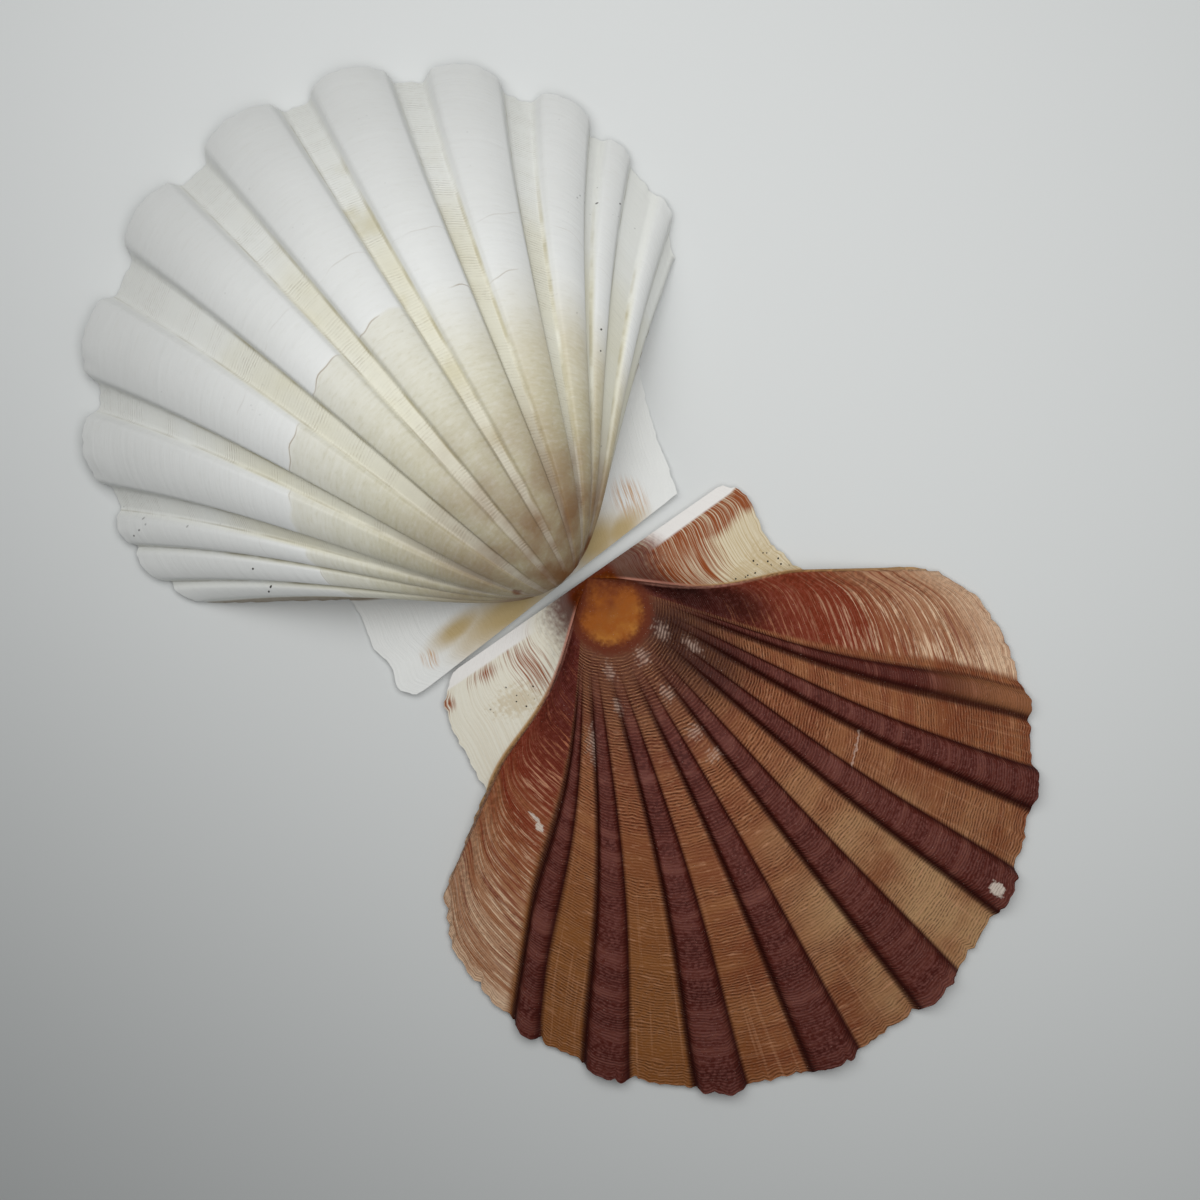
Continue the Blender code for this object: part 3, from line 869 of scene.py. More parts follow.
    # the halt in growth, a thin uneven line over the ribs, and a fainter one after it
    offBreak = addNode(tree, "Math", {"operation": "ABSOLUTE"}, {0: field["pastBreak"]})
    haltLine = addNode(tree, "MapRange", {}, {
        "Value": offBreak, "From Min": 0.12, "From Max": 0.03, "To Max": 0.50,
    })
    someRibs = addNode(tree, "MapRange", {}, {"Value": broad, "From Min": 0.47, "From Max": 0.55})
    haltLine = addNode(tree, "Math", times, {0: haltLine, 1: someRibs})
    after = addNode(tree, "Math", {"operation": "SUBTRACT"}, {
        0: field["pastBreak"], 1: looks["fadedLine"],
    })
    after = addNode(tree, "Math", {"operation": "ABSOLUTE"}, {0: after})
    after = addNode(tree, "MapRange", {}, {
        "Value": after, "From Min": 0.12, "From Max": 0.03, "To Max": 0.16,
    })
    after = addNode(tree, "Math", times, {0: after, 1: broken})
    haltLine = addNode(tree, "Math", {"operation": "MAXIMUM"}, {0: haltLine, 1: after})
    haltLine = addNode(tree, "Math", {"operation": "MULTIPLY", "use_clamp": True}, {
        0: haltLine, 1: field["ribHeight"],
    })
    paint = addNode(tree, "Mix", blend, {0: haltLine, 6: paint, 7: tone["lineBrown"]}, 2)

    # the beak is stained brown, with two rust spots
    beak = addNode(tree, "MapRange", {}, {
        "Value": stain, "From Min": 0.38, "From Max": 0.58, "To Min": 0.45,
    })
    beak = addNode(tree, "Math", times, {0: beak, 1: field["beakTint"]})
    paint = addNode(tree, "Mix", blend, {0: beak, 6: paint, 7: tone["beakBrown"]}, 2)
    rust = addNode(tree, "Math", plus, {0: fine, 1: 0.6, 2: field["rustSpots"]})
    rust = addNode(tree, "MapRange", soft, {
        "Value": rust, "From Min": 0.45, "From Max": 1.0, "To Max": 0.75,
    })
    paint = addNode(tree, "Mix", blend, {0: rust, 6: paint, 7: tone["rust"]}, 2)

    # ears: tan along the hinge, with a few streaks along the growth lines
    onEar = addNode(tree, "MapRange", soft, {"Value": field["crease"], "From Min": 0.15, "From Max": -0.5})
    ear = addNode(tree, "Mix", blend, {0: broad, 6: tone["ribGrey"], 7: tone["earWhite"]}, 2)
    tan = addNode(tree, "Math", plus, {0: stain, 1: 0.5, 2: field["earTan"]})
    tan = addNode(tree, "MapRange", soft, {"Value": tan, "From Min": 0.15, "From Max": 1.1, "To Max": 0.9})
    ear = addNode(tree, "Mix", blend, {0: tan, 6: ear, 7: tone["earTan"]}, 2)
    streak = addNode(tree, "MapRange", {}, {"Value": lines, "From Min": 0.46, "From Max": 0.60})
    rusty = addNode(tree, "MapRange", soft, {
        "Value": field["earRust"], "From Min": 0.0, "From Max": 0.7, "To Max": 0.8,
    })
    streak = addNode(tree, "Math", times, {0: streak, 1: rusty})
    ear = addNode(tree, "Mix", blend, {0: streak, 6: ear, 7: tone["earStreak"]}, 2)
    paint = addNode(tree, "Mix", blend, {0: onEar, 6: paint, 7: ear}, 2)

    # the crease between ear and disc keeps a fine brown line
    offCrease = addNode(tree, "Math", {"operation": "ABSOLUTE"}, {0: field["crease"]})
    creaseLine = addNode(tree, "MapRange", soft, {
        "Value": offCrease, "From Min": 0.42, "From Max": 0.06, "To Max": 0.75,
    })
    paint = addNode(tree, "Mix", blend, {0: creaseLine, 6: paint, 7: tone["lineBrown"]}, 2)

    # dark specks, a quarter of a millimetre, in the grooves of the sides
    cells = addNode(tree, "TexVoronoi", {}, {"Vector": place, "Scale": 1.0 / looks["speckGap"]})
    dot = addNode(tree, "MapRange", {}, {"Value": cells, "From Min": 0.13, "From Max": 0.08})
    where = addNode(tree, "MapRange", {}, {"Value": noise["specked"], "From Min": 0.56, "From Max": 0.60})
    sides = addNode(tree, "MapRange", {}, {
        "Value": sides, "From Min": 40.0, "From Max": 48.0, "To Min": 0.10,
    })
    for share in (where, sides, onDisc):
        dot = addNode(tree, "Math", times, {0: dot, 1: share})
    paint = addNode(tree, "Mix", blend, {0: dot, 6: paint, 7: tone["speck"]}, 2)

    # hollow side: smooth porcelain, a little cream
    hollow = addNode(tree, "Mix", blend, {0: olive, 6: tone["porcelain"], 7: tone["grooveInner"]}, 2)
    paint = addNode(tree, "Mix", blend, {0: field["under"], 6: paint, 7: hollow}, 2)

    # relief: plates, growth lines and a faint grain
    high = addNode(tree, "Math", times, {0: plates, 1: strong})
    high = addNode(tree, "Math", times, {0: high, 1: 0.022})
    high = addNode(tree, "Math", plus, {0: lines, 1: 0.08, 2: high})
    high = addNode(tree, "Math", plus, {0: fine, 1: 0.02, 2: high})
    closePaint(tree, looks, paint, high, fine, field["under"])
    return material


def paintBrownShell():
    looks = brownLooks
    material, tree = newMaterial("pigmentedCalciteBrown")
    markings = ("patch", "paleSpots", "chip", "dusky", "earRust", "dots")
    tone, field, place, noise = openPaint(material, looks, markings)
    grown = field["grown"]
    angle = field["angle"]
    broad, fine, bands = (noise[name] for name in ("broad", "fine", "bands"))
    threadX = addNode(tree, "Math", times, {0: angle, 1: 2.2})
    threadY = addNode(tree, "Math", times, {0: grown, 1: 0.05})
    radial = addNode(tree, "CombineXYZ", {}, {"X": threadX, "Y": threadY})
    threads = addNode(tree, "TexNoise", {}, {"Vector": radial, "Scale": 1.0, "Detail": 3.0})

    # spaces between the ribs: brown, redder or ochre in places, banded along the growth lines
    banded = addNode(tree, "MapRange", {}, {"Value": bands, "From Min": 0.36, "From Max": 0.66})
    space = addNode(tree, "Mix", blend, {0: banded, 6: tone["spaceBrown"], 7: tone["spaceTan"]}, 2)
    redder = addNode(tree, "MapRange", {}, {
        "Value": broad, "From Min": 0.48, "From Max": 0.64, "To Max": 0.7,
    })
    space = addNode(tree, "Mix", blend, {0: redder, 6: space, 7: tone["spaceRed"]}, 2)
    leftSide = addNode(tree, "MapRange", soft, {
        "Value": angle, "From Min": -8.0, "From Max": -26.0, "To Max": 0.8,
    })
    fartherOut = addNode(tree, "MapRange", soft, {"Value": grown, "From Min": 28.0, "From Max": 62.0})
    ochre = addNode(tree, "Math", times, {0: leftSide, 1: fartherOut})
    space = addNode(tree, "Mix", blend, {0: ochre, 6: space, 7: tone["spaceOchre"]}, 2)
    fromLeft = addNode(tree, "MapRange", soft, {"Value": angle, "From Min": -9.0, "From Max": 4.0})
    fromRight = addNode(tree, "MapRange", soft, {"Value": angle, "From Min": 31.0, "From Max": 12.0})
    clear = addNode(tree, "MapRange", {}, {
        "Value": broad, "From Min": 0.62, "From Max": 0.40, "To Min": 0.15, "To Max": 0.85,
    })
    pale = fartherOut
    for share in (fromLeft, fromRight, clear):
        pale = addNode(tree, "Math", times, {0: pale, 1: share})
    space = addNode(tree, "Mix", blend, {0: pale, 6: space, 7: tone["spacePale"]}, 2)
    thread = addNode(tree, "MapRange", {}, {
        "Value": threads, "From Min": 0.58, "From Max": 0.72, "To Max": 0.28,
    })
    thread = addNode(tree, "Math", times, {0: thread, 1: fartherOut})
    space = addNode(tree, "Mix", blend, {0: thread, 6: space, 7: tone["plateLight"]}, 2)
    dashX = addNode(tree, "Math", times, {0: angle, 1: 0.45})
    dashY = addNode(tree, "Math", times, {0: grown, 1: 2.6})
    dashPlace = addNode(tree, "CombineXYZ", {}, {"X": dashX, "Y": dashY})
    dashes = addNode(tree, "TexNoise", {}, {"Vector": dashPlace, "Scale": 0.7, "Detail": 3.0})
    dash = addNode(tree, "MapRange", {}, {
        "Value": dashes, "From Min": 0.58, "From Max": 0.72, "To Max": 0.50,
    })
    space = addNode(tree, "Mix", blend, {0: dash, 6: space, 7: tone["plateLight"]}, 2)

    # plates: light lines across and dark gaps between, clearest near the umbo
    phase = addNode(tree, "Math", times, {0: grown, 1: 2.0 * math.pi / looks["plateGap"]})
    phase = addNode(tree, "Math", plus, {0: noise["sway"], 1: 16.0, 2: phase})
    plates = addNode(tree, "Math", {"operation": "SINE"}, {0: phase})
    strength = addNode(tree, "MapRange", {}, {
        "Value": noise["platy"], "From Min": 0.36, "From Max": 0.56, "To Min": 0.35,
    })
    clearest = addNode(tree, "MapRange", soft, {
        "Value": grown, "From Min": 44.0, "From Max": 22.0, "To Min": 0.70,
    })
    uneven = addNode(tree, "MapRange", {}, {
        "Value": fine, "From Min": 0.38, "From Max": 0.58, "To Min": 0.15,
    })
    offPatch = addNode(tree, "MapRange", soft, {"Value": field["patch"], "From Min": 1.0, "From Max": 1.5})
    for share in (clearest, uneven, offPatch):
        strength = addNode(tree, "Math", times, {0: strength, 1: share})
    light = addNode(tree, "MapRange", {}, {
        "Value": plates, "From Min": 0.0, "From Max": 0.9, "To Max": 0.55,
    })
    light = addNode(tree, "Math", times, {0: light, 1: strength})
    dark = addNode(tree, "MapRange", {}, {
        "Value": plates, "From Min": -0.1, "From Max": -0.95, "To Max": 0.85,
    })
    dark = addNode(tree, "Math", times, {0: dark, 1: strength})
    nearUmbo = addNode(tree, "MapRange", soft, {
        "Value": grown, "From Min": 34.0, "From Max": 14.0, "To Max": 0.7,
    })
    space = addNode(tree, "Mix", blend, {0: nearUmbo, 6: space, 7: tone["spaceDusky"]}, 2)
    space = addNode(tree, "Mix", blend, {0: light, 6: space, 7: tone["plateLight"]}, 2)
    space = addNode(tree, "Mix", blend, {0: dark, 6: space, 7: tone["plateDark"]}, 2)

    # ribs: purplish brown with fine arcs, a painted highlight along the crest and painted shade on the sides,
    # and painted shade along the feet, nearly black at the left foot and darker at the right
    onRib = addNode(tree, "MapRange", soft, {
        "Value": field["ribHeight"], "From Min": 0.03, "From Max": 0.26,
    })
    drawn = addNode(tree, "MapRange", soft, {"Value": grown, "From Min": 11.0, "From Max": 24.0})
    onRib = addNode(tree, "Math", times, {0: onRib, 1: drawn})
    ribPaint = addNode(tree, "Mix", blend, {0: banded, 6: tone["ribPurple"], 7: tone["ribBrown"]}, 2)
    arc = addNode(tree, "Math", times, {0: dashes, 1: banded})
    arc = addNode(tree, "MapRange", {}, {"Value": arc, "From Min": 0.24, "From Max": 0.50, "To Max": 0.42})
    arc = addNode(tree, "Math", plus, {0: light, 1: 0.9, 2: arc})
    ribPaint = addNode(tree, "Mix", blend, {0: arc, 6: ribPaint, 7: tone["ribLine"]}, 2)
    # painted highlight along the rib crests, mottled
    crestHighlight = addNode(tree, "MapRange", soft, {
        "Value": field["ribHeight"], "From Min": 0.60, "From Max": 1.05,
    })
    mottled = addNode(tree, "MapRange", {}, {
        "Value": fine, "From Min": 0.44, "From Max": 0.62, "To Max": 0.9,
    })
    crestHighlight = addNode(tree, "Math", times, {0: crestHighlight, 1: mottled})
    ribPaint = addNode(tree, "Mix", blend, {0: crestHighlight, 6: ribPaint, 7: tone["ribCrestHighlight"]}, 2)
    # painted shade on the rib sides, joined with the dark arcs of the plates
    side = addNode(tree, "MapRange", soft, {
        "Value": field["ribHeight"], "From Min": 0.75, "From Max": 0.25, "To Max": 0.75,
    })
    darkArcs = addNode(tree, "Math", times, {0: dark, 1: 0.75})
    side = addNode(tree, "Math", {"operation": "MAXIMUM"}, {0: side, 1: darkArcs})
    ribPaint = addNode(tree, "Mix", blend, {0: side, 6: ribPaint, 7: tone["ribSideShadeAndArcs"]}, 2)
    lastRib = addNode(tree, "MapRange", soft, {
        "Value": angle, "From Min": 36.0, "From Max": 38.0, "To Max": 0.65,
    })
    ribEnd = addNode(tree, "MapRange", soft, {"Value": grown, "From Min": 56.0, "From Max": 74.0})
    lastRib = addNode(tree, "Math", times, {0: lastRib, 1: ribEnd})
    ribPaint = addNode(tree, "Mix", blend, {0: lastRib, 6: ribPaint, 7: tone["flankTan"]}, 2)
    paint = addNode(tree, "Mix", blend, {0: onRib, 6: space, 7: ribPaint}, 2)
    # painted shade along each rib's feet, strongest at the left foot, away from the light
    leftFoot = addNode(tree, "MapRange", soft, {
        "Value": field["leftFoot"], "From Min": 0.78, "From Max": 0.10, "To Max": 0.85,
    })
    rightFoot = addNode(tree, "MapRange", soft, {
        "Value": field["rightFoot"], "From Min": 0.42, "From Max": 0.05, "To Max": 0.45,
    })
    foot = addNode(tree, "Math", {"operation": "MAXIMUM"}, {0: leftFoot, 1: rightFoot})
    foot = addNode(tree, "Math", times, {0: foot, 1: drawn})
    paint = addNode(tree, "Mix", blend, {0: foot, 6: paint, 7: tone["ribFootShade"]}, 2)

    # flanks: dark red brown, tan outwards, with thin pale streaks along the growth lines
    flanks = []
    for start, end in (looks["leftFlank"], looks["rightFlank"]):
        flanks.append(addNode(tree, "MapRange", soft, {"Value": angle, "From Min": start, "From Max": end}))
    leftFlank, rightFlank = flanks
    flank = addNode(tree, "Math", {"operation": "ADD"}, {0: leftFlank, 1: rightFlank})
    streakX = addNode(tree, "Math", times, {0: angle, 1: 0.09})
    streakLine = addNode(tree, "CombineXYZ", {}, {"X": streakX, "Y": grown})
    streaks = addNode(tree, "TexNoise", {}, {
        "Vector": streakLine, "Scale": 1.0, "Detail": 3.0, "Roughness": 0.55, "Distortion": 0.25,
    })
    phase = addNode(tree, "Math", times, {0: grown, 1: 2.0 * math.pi / looks["ridgeGap"]})
    phase = addNode(tree, "Math", plus, {0: streaks, 1: 16.0, 2: phase})
    ridges = addNode(tree, "Math", {"operation": "SINE"}, {0: phase})
    scratches = addNode(tree, "TexNoise", {}, {
        "Vector": streakLine, "Scale": 2.1, "Detail": 4.0, "Roughness": 0.7, "Distortion": 0.3,
    })
    ridges = addNode(tree, "Math", plus, {0: ridges, 1: 0.10, 2: scratches})
    thin = addNode(tree, "MapRange", {}, {
        "Value": ridges, "From Min": 0.53, "From Max": 0.66, "To Max": 0.85,
    })
    where = addNode(tree, "TexNoise", {}, {"Vector": streakLine, "Scale": 0.35, "Detail": 3.0})
    offCrease = addNode(tree, "MapRange", soft, {
        "Value": field["crease"], "From Min": 0.8, "From Max": 5.0, "To Min": 0.25,
    })
    outer = addNode(tree, "MapRange", soft, {"Value": grown, "From Min": 22.0, "From Max": 68.0})
    where = addNode(tree, "Math", plus, {0: outer, 1: 0.32, 2: where})
    where = addNode(tree, "MapRange", {}, {"Value": where, "From Min": 0.36, "From Max": 0.66})
    for share in (where, offCrease):
        thin = addNode(tree, "Math", times, {0: thin, 1: share})
    redden = addNode(tree, "MapRange", soft, {"Value": grown, "From Min": 20.0, "From Max": 46.0})
    flankPaint = addNode(tree, "Mix", blend, {0: redden, 6: tone["flankDark"], 7: tone["flankRed"]}, 2)
    tanShare = addNode(tree, "Math", plus, {0: outer, 1: 0.75, 2: -0.62})
    tanShare = addNode(tree, "Math", {"operation": "ADD"}, {0: tanShare, 1: bands})
    tanShare = addNode(tree, "Math", plus, {0: leftFlank, 1: 0.10, 2: tanShare})
    tanShare = addNode(tree, "MapRange", {}, {
        "Value": tanShare, "From Min": 0.25, "From Max": 0.62, "To Max": 0.8,
    })
    flankPaint = addNode(tree, "Mix", blend, {0: tanShare, 6: flankPaint, 7: tone["flankTan"]}, 2)
    paler = addNode(tree, "MapRange", soft, {
        "Value": grown, "From Min": 50.0, "From Max": 72.0, "To Max": 0.55,
    })
    paler = addNode(tree, "Math", times, {0: paler, 1: banded})
    flankPaint = addNode(tree, "Mix", blend, {0: paler, 6: flankPaint, 7: tone["flankPale"]}, 2)
    whiter = addNode(tree, "Mix", blend, {0: outer, 6: tone["flankStreak"], 7: tone["flankPale"]}, 2)
    flankPaint = addNode(tree, "Mix", blend, {0: thin, 6: flankPaint, 7: whiter}, 2)
    wedges = addNode(tree, "MapRange", {}, {
        "Value": streaks, "From Min": 0.54, "From Max": 0.62, "To Max": 0.75,
    })
    wedges = addNode(tree, "Math", times, {0: wedges, 1: outer})
    flankPaint = addNode(tree, "Mix", blend, {0: wedges, 6: flankPaint, 7: tone["flankRed"]}, 2)
    besideRib = addNode(tree, "MapRange", soft, {"Value": angle, "From Min": 46.5, "From Max": 43.5})
    old = addNode(tree, "MapRange", soft, {"Value": grown, "From Min": 54.0, "From Max": 64.0})
    besideRib = addNode(tree, "Math", times, {0: besideRib, 1: old})
    ends = addNode(tree, "MapRange", {}, {
        "Value": scratches, "From Min": 0.47, "From Max": 0.56, "To Max": 0.7,
    })
    for share in (besideRib, rightFlank):
        ends = addNode(tree, "Math", times, {0: ends, 1: share})
    flankPaint = addNode(tree, "Mix", blend, {0: ends, 6: flankPaint, 7: tone["flankPale"]}, 2)
    rim = addNode(tree, "Math", plus, {0: streaks, 1: 30.0, 2: grown})
    rim = addNode(tree, "MapRange", soft, {"Value": rim, "From Min": 86.0, "From Max": 95.0, "To Max": 0.7})
    flankPaint = addNode(tree, "Mix", blend, {0: rim, 6: flankPaint, 7: tone["flankPale"]}, 2)
    paint = addNode(tree, "Mix", blend, {0: flank, 6: paint, 7: flankPaint}, 2)

    # umbo: a worn amber patch with a dark ring, and painted shade beside it on the far side of the dip
    shade = addNode(tree, "MapRange", soft, {
        "Value": field["dusky"], "From Min": 0.0, "From Max": 0.6, "To Max": 0.8,
    })
    stainAndShadeShare = addNode(tree, "MapRange", {}, {
        "Value": broad, "From Min": 0.3, "From Max": 0.6, "To Min": 0.6,
    })
    shade = addNode(tree, "Math", times, {0: shade, 1: stainAndShadeShare})
    paint = addNode(tree, "Mix", blend, {0: shade, 6: paint, 7: tone["dusk"]}, 2)
    uneven = addNode(tree, "Math", plus, {0: fine, 1: 0.30, 2: field["patch"]})
    clouds = addNode(tree, "MapRange", {}, {"Value": noise["clouds"], "From Min": 0.42, "From Max": 0.62})
    amber = addNode(tree, "Mix", blend, {0: clouds, 6: tone["patchAmber"], 7: tone["patchRust"]}, 2)
    low = addNode(tree, "MapRange", soft, {
        "Value": field["fanY"], "From Min": 4.0, "From Max": 8.6, "To Max": 0.8,
    })
    low = addNode(tree, "Math", times, {0: low, 1: clouds})
    amber = addNode(tree, "Mix", blend, {0: low, 6: amber, 7: tone["patchPale"]}, 2)
    ringShare = addNode(tree, "MapRange", soft, {"Value": uneven, "From Min": 0.84, "From Max": 1.16})
    amber = addNode(tree, "Mix", blend, {0: ringShare, 6: amber, 7: tone["patchRing"]}, 2)
    inPatch = addNode(tree, "MapRange", soft, {"Value": uneven, "From Min": 1.42, "From Max": 1.18})
    paint = addNode(tree, "Mix", blend, {0: inPatch, 6: paint, 7: amber}, 2)

    # pale flecks and a growth mark keep the lines of the plates
    fleck = addNode(tree, "Math", plus, {0: fine, 1: 3.2, 2: field["paleSpots"]})
    fleck = addNode(tree, "MapRange", {}, {
        "Value": fleck, "From Min": 1.50, "From Max": 2.50, "To Max": 0.48,
    })
    lined = addNode(tree, "MapRange", {}, {
        "Value": plates, "From Min": -0.7, "From Max": 0.3, "To Min": 0.25,
    })
    fleck = addNode(tree, "Math", times, {0: fleck, 1: lined})
    markAway = addNode(tree, "Math", plus, {0: fine, 1: 1.2, 2: grown})
    markAway = addNode(tree, "Math", {"operation": "SUBTRACT"}, {0: markAway, 1: looks["markGrown"]})
    markAway = addNode(tree, "Math", {"operation": "ABSOLUTE"}, {0: markAway})
    mark = addNode(tree, "MapRange", {}, {
        "Value": markAway, "From Min": 0.28, "From Max": 0.06, "To Max": 0.48,
    })
    markAngle = addNode(tree, "Math", {"operation": "SUBTRACT"}, {0: angle, 1: looks["markAngle"]})
    markAngle = addNode(tree, "Math", {"operation": "ABSOLUTE"}, {0: markAngle})
    markWide = addNode(tree, "MapRange", {}, {"Value": markAngle, "From Min": 4.6, "From Max": 3.0})
    mark = addNode(tree, "Math", times, {0: mark, 1: markWide})
    fleck = addNode(tree, "Math", {"operation": "MAXIMUM"}, {0: fleck, 1: mark})
    offRib = addNode(tree, "Math", {"operation": "SUBTRACT", "use_clamp": True}, {0: 1.1, 1: onRib})
    fleck = addNode(tree, "Math", times, {0: fleck, 1: offRib})
    sparkle = addNode(tree, "MapRange", {}, {
        "Value": noise["grain"], "From Min": 0.68, "From Max": 0.76, "To Max": 0.4,
    })
    fleck = addNode(tree, "Math", {"operation": "MAXIMUM"}, {0: fleck, 1: sparkle})
    paint = addNode(tree, "Mix", blend, {0: fleck, 6: paint, 7: tone["paleFleck"]}, 2)

    # ears: cream to the right, greyer to the left, red brown streaks along the growth lines
    leftEar = addNode(tree, "MapRange", {}, {"Value": field["fanX"], "From Min": 2.0, "From Max": -2.0})
    earPaint = addNode(tree, "Mix", blend, {0: leftEar, 6: tone["earCream"], 7: tone["earGrey"]}, 2)
    yellow = addNode(tree, "Math", plus, {0: fine, 1: 2.4, 2: field["dots"]})
    yellow = addNode(tree, "MapRange", soft, {
        "Value": yellow, "From Min": 1.15, "From Max": 1.95, "To Max": 0.42,
    })
    earPaint = addNode(tree, "Mix", blend, {0: yellow, 6: earPaint, 7: tone["earYellow"]}, 2)
    earX = addNode(tree, "Math", times, {0: angle, 1: 0.04})
    earY = addNode(tree, "Math", times, {0: grown, 1: 1.5})
    earLine = addNode(tree, "CombineXYZ", {}, {"X": earX, "Y": earY})
    earLines = addNode(tree, "TexNoise", {}, {
        "Vector": earLine, "Scale": 1.0, "Detail": 4.0, "Roughness": 0.6,
    })
    faint = addNode(tree, "MapRange", {}, {
        "Value": earLines, "From Min": 0.46, "From Max": 0.58, "To Max": 0.65,
    })
    rightEar = addNode(tree, "MapRange", {}, {
        "Value": leftEar, "From Min": 0.0, "From Max": 1.0, "To Min": 1.0, "To Max": 0.25,
    })
    faint = addNode(tree, "Math", times, {0: faint, 1: rightEar})
    earPaint = addNode(tree, "Mix", blend, {0: faint, 6: earPaint, 7: tone["earYellow"]}, 2)
    rusty = addNode(tree, "MapRange", {}, {
        "Value": field["earRust"], "From Min": -0.25, "From Max": 0.55, "To Min": -0.35, "To Max": 0.14,
    })
    earStreak = addNode(tree, "Math", {"operation": "ADD"}, {0: earLines, 1: rusty})
    earStreak = addNode(tree, "MapRange", {}, {"Value": earStreak, "From Min": 0.44, "From Max": 0.68})
    earPaint = addNode(tree, "Mix", blend, {0: earStreak, 6: earPaint, 7: tone["earStreak"]}, 2)
    strip = addNode(tree, "MapRange", soft, {"Value": field["fanY"], "From Min": 1.9, "From Max": 1.5})
    offBeak = addNode(tree, "MapRange", soft, {"Value": grown, "From Min": 26.0, "From Max": 40.0})
    strip = addNode(tree, "Math", times, {0: strip, 1: offBeak})
    earPaint = addNode(tree, "Mix", blend, {0: strip, 6: earPaint, 7: tone["hingeStrip"]}, 2)
    nearUmbo = addNode(tree, "Math", plus, {0: fine, 1: 12.0, 2: grown})
    nearUmbo = addNode(tree, "Math", plus, {0: leftEar, 1: 8.0, 2: nearUmbo})
    nearUmbo = addNode(tree, "MapRange", soft, {
        "Value": nearUmbo, "From Min": 44.0, "From Max": 28.0, "To Max": 0.9,
    })
    earPaint = addNode(tree, "Mix", blend, {0: nearUmbo, 6: earPaint, 7: tone["earDark"]}, 2)
    dotCells = {"Vector": place, "Scale": 1.0 / looks["dotGap"]}
    cells = addNode(tree, "TexVoronoi", {}, dotCells)
    chance = addNode(tree, "TexVoronoi", {}, dotCells, "Color")
    dotReach = addNode(tree, "MapRange", {}, {
        "Value": chance, "From Min": 0.22, "From Max": 0.7, "To Max": 0.21,
    })
    dot = addNode(tree, "Math", {"operation": "SUBTRACT"}, {0: dotReach, 1: cells})
    dot = addNode(tree, "MapRange", {}, {"Value": dot, "From Min": 0.0, "From Max": 0.06})
    dotted = addNode(tree, "MapRange", {}, {"Value": field["dots"], "From Min": 0.0, "From Max": 0.15})
    dot = addNode(tree, "Math", times, {0: dot, 1: dotted})
    earPaint = addNode(tree, "Mix", blend, {0: dot, 6: earPaint, 7: tone["speck"]}, 2)
    onEar = addNode(tree, "MapRange", soft, {"Value": field["crease"], "From Min": 0.1, "From Max": -0.35})
    farPatch = addNode(tree, "MapRange", soft, {"Value": grown, "From Min": 9.0, "From Max": 14.0})
    onEar = addNode(tree, "Math", times, {0: onEar, 1: farPatch})
    paint = addNode(tree, "Mix", blend, {0: onEar, 6: paint, 7: earPaint}, 2)

    # pale line along the shoulder crease, a painted highlight of the ridge, pinkish near the umbo and ochre
    # farther out
    offCrease = addNode(tree, "Math", {"operation": "ABSOLUTE"}, {0: field["crease"]})
    ridge = addNode(tree, "MapRange", soft, {
        "Value": offCrease, "From Min": 0.45, "From Max": 0.12, "To Max": 0.75,
    })
    ridge = addNode(tree, "Math", times, {0: ridge, 1: farPatch})
    ridgeHighlightTone = addNode(tree, "MapRange", soft, {"Value": grown, "From Min": 28.0, "From Max": 48.0})
    ridgeHighlightTone = addNode(tree, "Mix", blend, {0: ridgeHighlightTone, 6: tone["ridgeHighlightPink"], 7: tone["ridgeHighlightOchre"]}, 2)
    paint = addNode(tree, "Mix", blend, {0: ridge, 6: paint, 7: ridgeHighlightTone}, 2)

    # two chips show the white layer under the colour
    chipEdge = addNode(tree, "Math", plus, {0: fine, 1: 1.2, 2: field["chip"]})
    chipShare = addNode(tree, "MapRange", {}, {
        "Value": chipEdge, "From Min": 0.74, "From Max": 1.00, "To Max": 0.9,
    })
    paint = addNode(tree, "Mix", blend, {0: chipShare, 6: paint, 7: tone["chipWhite"]}, 2)

    # hollow side: porcelain with a brown band towards the edge
    band = addNode(tree, "MapRange", soft, {
        "Value": grown, "From Min": 60.0, "From Max": 76.0, "To Max": 0.8,
    })
    hollow = addNode(tree, "Mix", blend, {0: band, 6: tone["porcelain"], 7: tone["innerBrown"]}, 2)
    paint = addNode(tree, "Mix", blend, {0: field["under"], 6: paint, 7: hollow}, 2)

    # relief: plates, streaks and a faint grain
    onDisc = addNode(tree, "MapRange", soft, {
        "Value": field["crease"], "From Min": -0.5, "From Max": 0.5, "To Max": 0.07,
    })
    high = addNode(tree, "Math", times, {0: plates, 1: strength})
    high = addNode(tree, "Math", times, {0: high, 1: onDisc})
    high = addNode(tree, "Math", plus, {0: streaks, 1: 0.10, 2: high})
    high = addNode(tree, "Math", plus, {0: fine, 1: 0.05, 2: high})
    closePaint(tree, looks, paint, high, fine, field["under"])
    return material


# Camera at the photograph's place: 240 mm off, leaning a little
cameraPlan = {
    "lens": 51.0,
    "sensor": 36.0,
    "distance": 240.0,
    "lean": 3.2,
    "aim": (3.01, -6.70, 0.0),
    "right": (0.8195, -0.5731, 0.0),
    "above": (0.5731, 0.8195, 0.0),
}


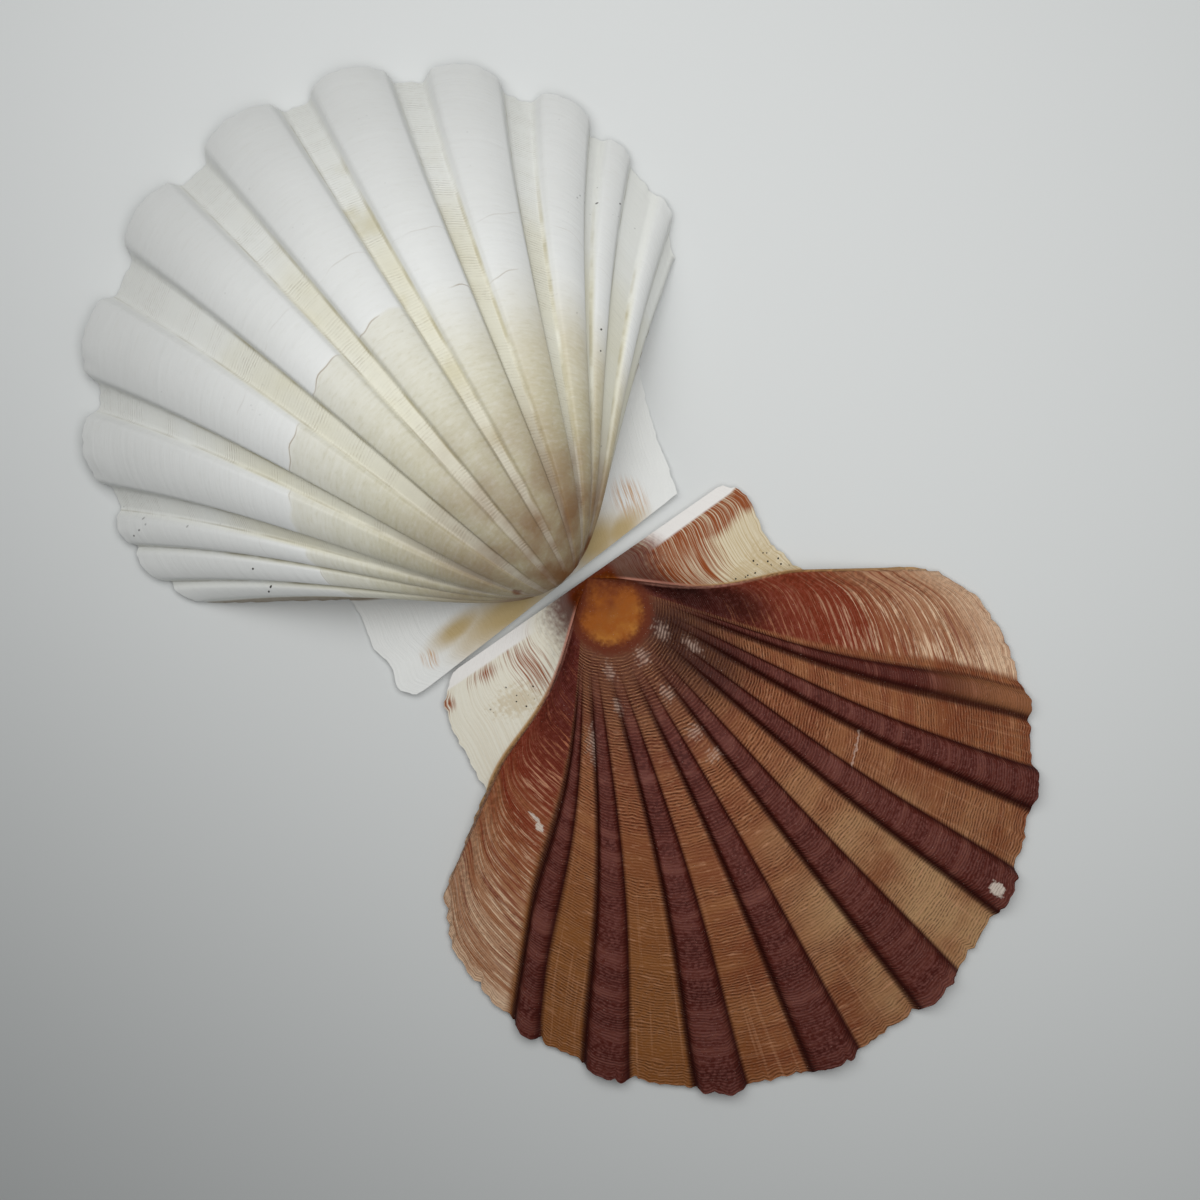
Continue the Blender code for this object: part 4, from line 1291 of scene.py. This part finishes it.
def setCamera():
    plan = cameraPlan
    right = Vector(plan["right"]).normalized()
    above = Vector(plan["above"]).normalized()
    lean = math.radians(plan["lean"])
    back = Vector((0.0, 0.0, math.cos(lean))) - above * math.sin(lean)
    up = back.cross(right)
    spot = (Vector(plan["aim"]) + back * plan["distance"]) * mm
    turn = Matrix((right, up, back)).transposed().to_4x4()
    data = bpy.data.cameras.new("photoCamera")
    data.lens = plan["lens"]
    data.sensor_width = plan["sensor"]
    data.clip_start = 0.01
    camera = bpy.data.objects.new("photoCamera", data)
    camera.matrix_world = Matrix.Translation(spot) @ turn
    scene.collection.objects.link(camera)
    scene.camera = camera


# Soft daylight from the upper right of the picture, and a pale room
lightPlan = {
    "windowPlace": (58.8, 49.1, 207.0),
    "windowAim": (175.0, 85.0, 0.0),
    "windowSize": 280.0,
    "windowPower": 0.62,
    "windowTint": "#ffffff",
    "roomTint": "#eef2f5",
    "roomStrength": 0.17,
}


def setLights():
    plan = lightPlan
    data = bpy.data.lights.new("window", "AREA")
    data.shape = "SQUARE"
    data.size = plan["windowSize"] * mm
    data.energy = plan["windowPower"]
    data.color = colour(plan["windowTint"])[:3]
    window = bpy.data.objects.new("window", data)
    window.location = Vector(plan["windowPlace"]) * mm
    window.visible_camera = False
    facing = Vector(plan["windowAim"]) * mm - window.location
    window.rotation_euler = facing.to_track_quat("-Z", "Y").to_euler()
    scene.collection.objects.link(window)
    world = bpy.data.worlds.new("paleRoom")
    world.use_nodes = True
    room = world.node_tree.nodes["Background"]
    room.inputs["Color"].default_value = colour(plan["roomTint"])
    room.inputs["Strength"].default_value = plan["roomStrength"]
    scene.world = world


# Matt painted board
floorPlan = {"size": 6000.0, "paint": "#ced0cf", "roughness": 0.9}


def layFloor():
    half = floorPlan["size"] / 2 * mm
    mesh = bpy.data.meshes.new("board")
    corners = [(-half, -half, 0.0), (half, -half, 0.0), (half, half, 0.0), (-half, half, 0.0)]
    mesh.from_pydata(corners, [], [(0, 1, 2, 3)])
    material, tree = newMaterial("mattBoard")
    shader = addNode(tree, "BsdfPrincipled", {}, {
        "Base Color": colour(floorPlan["paint"]), "Roughness": floorPlan["roughness"],
    })
    tree.links.new(shader, tree.nodes.new("ShaderNodeOutputMaterial").inputs["Surface"])
    mesh.materials.append(material)
    board = bpy.data.objects.new("board", mesh)
    scene.collection.objects.link(board)


setCamera()
setLights()
layFloor()
print("camera, lights and floor set")

whiteShell = growValve(whiteValve, whiteOutside)
whiteShell.data.materials.append(paintWhiteShell())
print("white valve grown:", len(whiteShell.data.polygons), "faces")
brownShell = growValve(brownValve, brownOutside)
brownShell.data.materials.append(paintBrownShell())
print("brown valve grown:", len(brownShell.data.polygons), "faces")
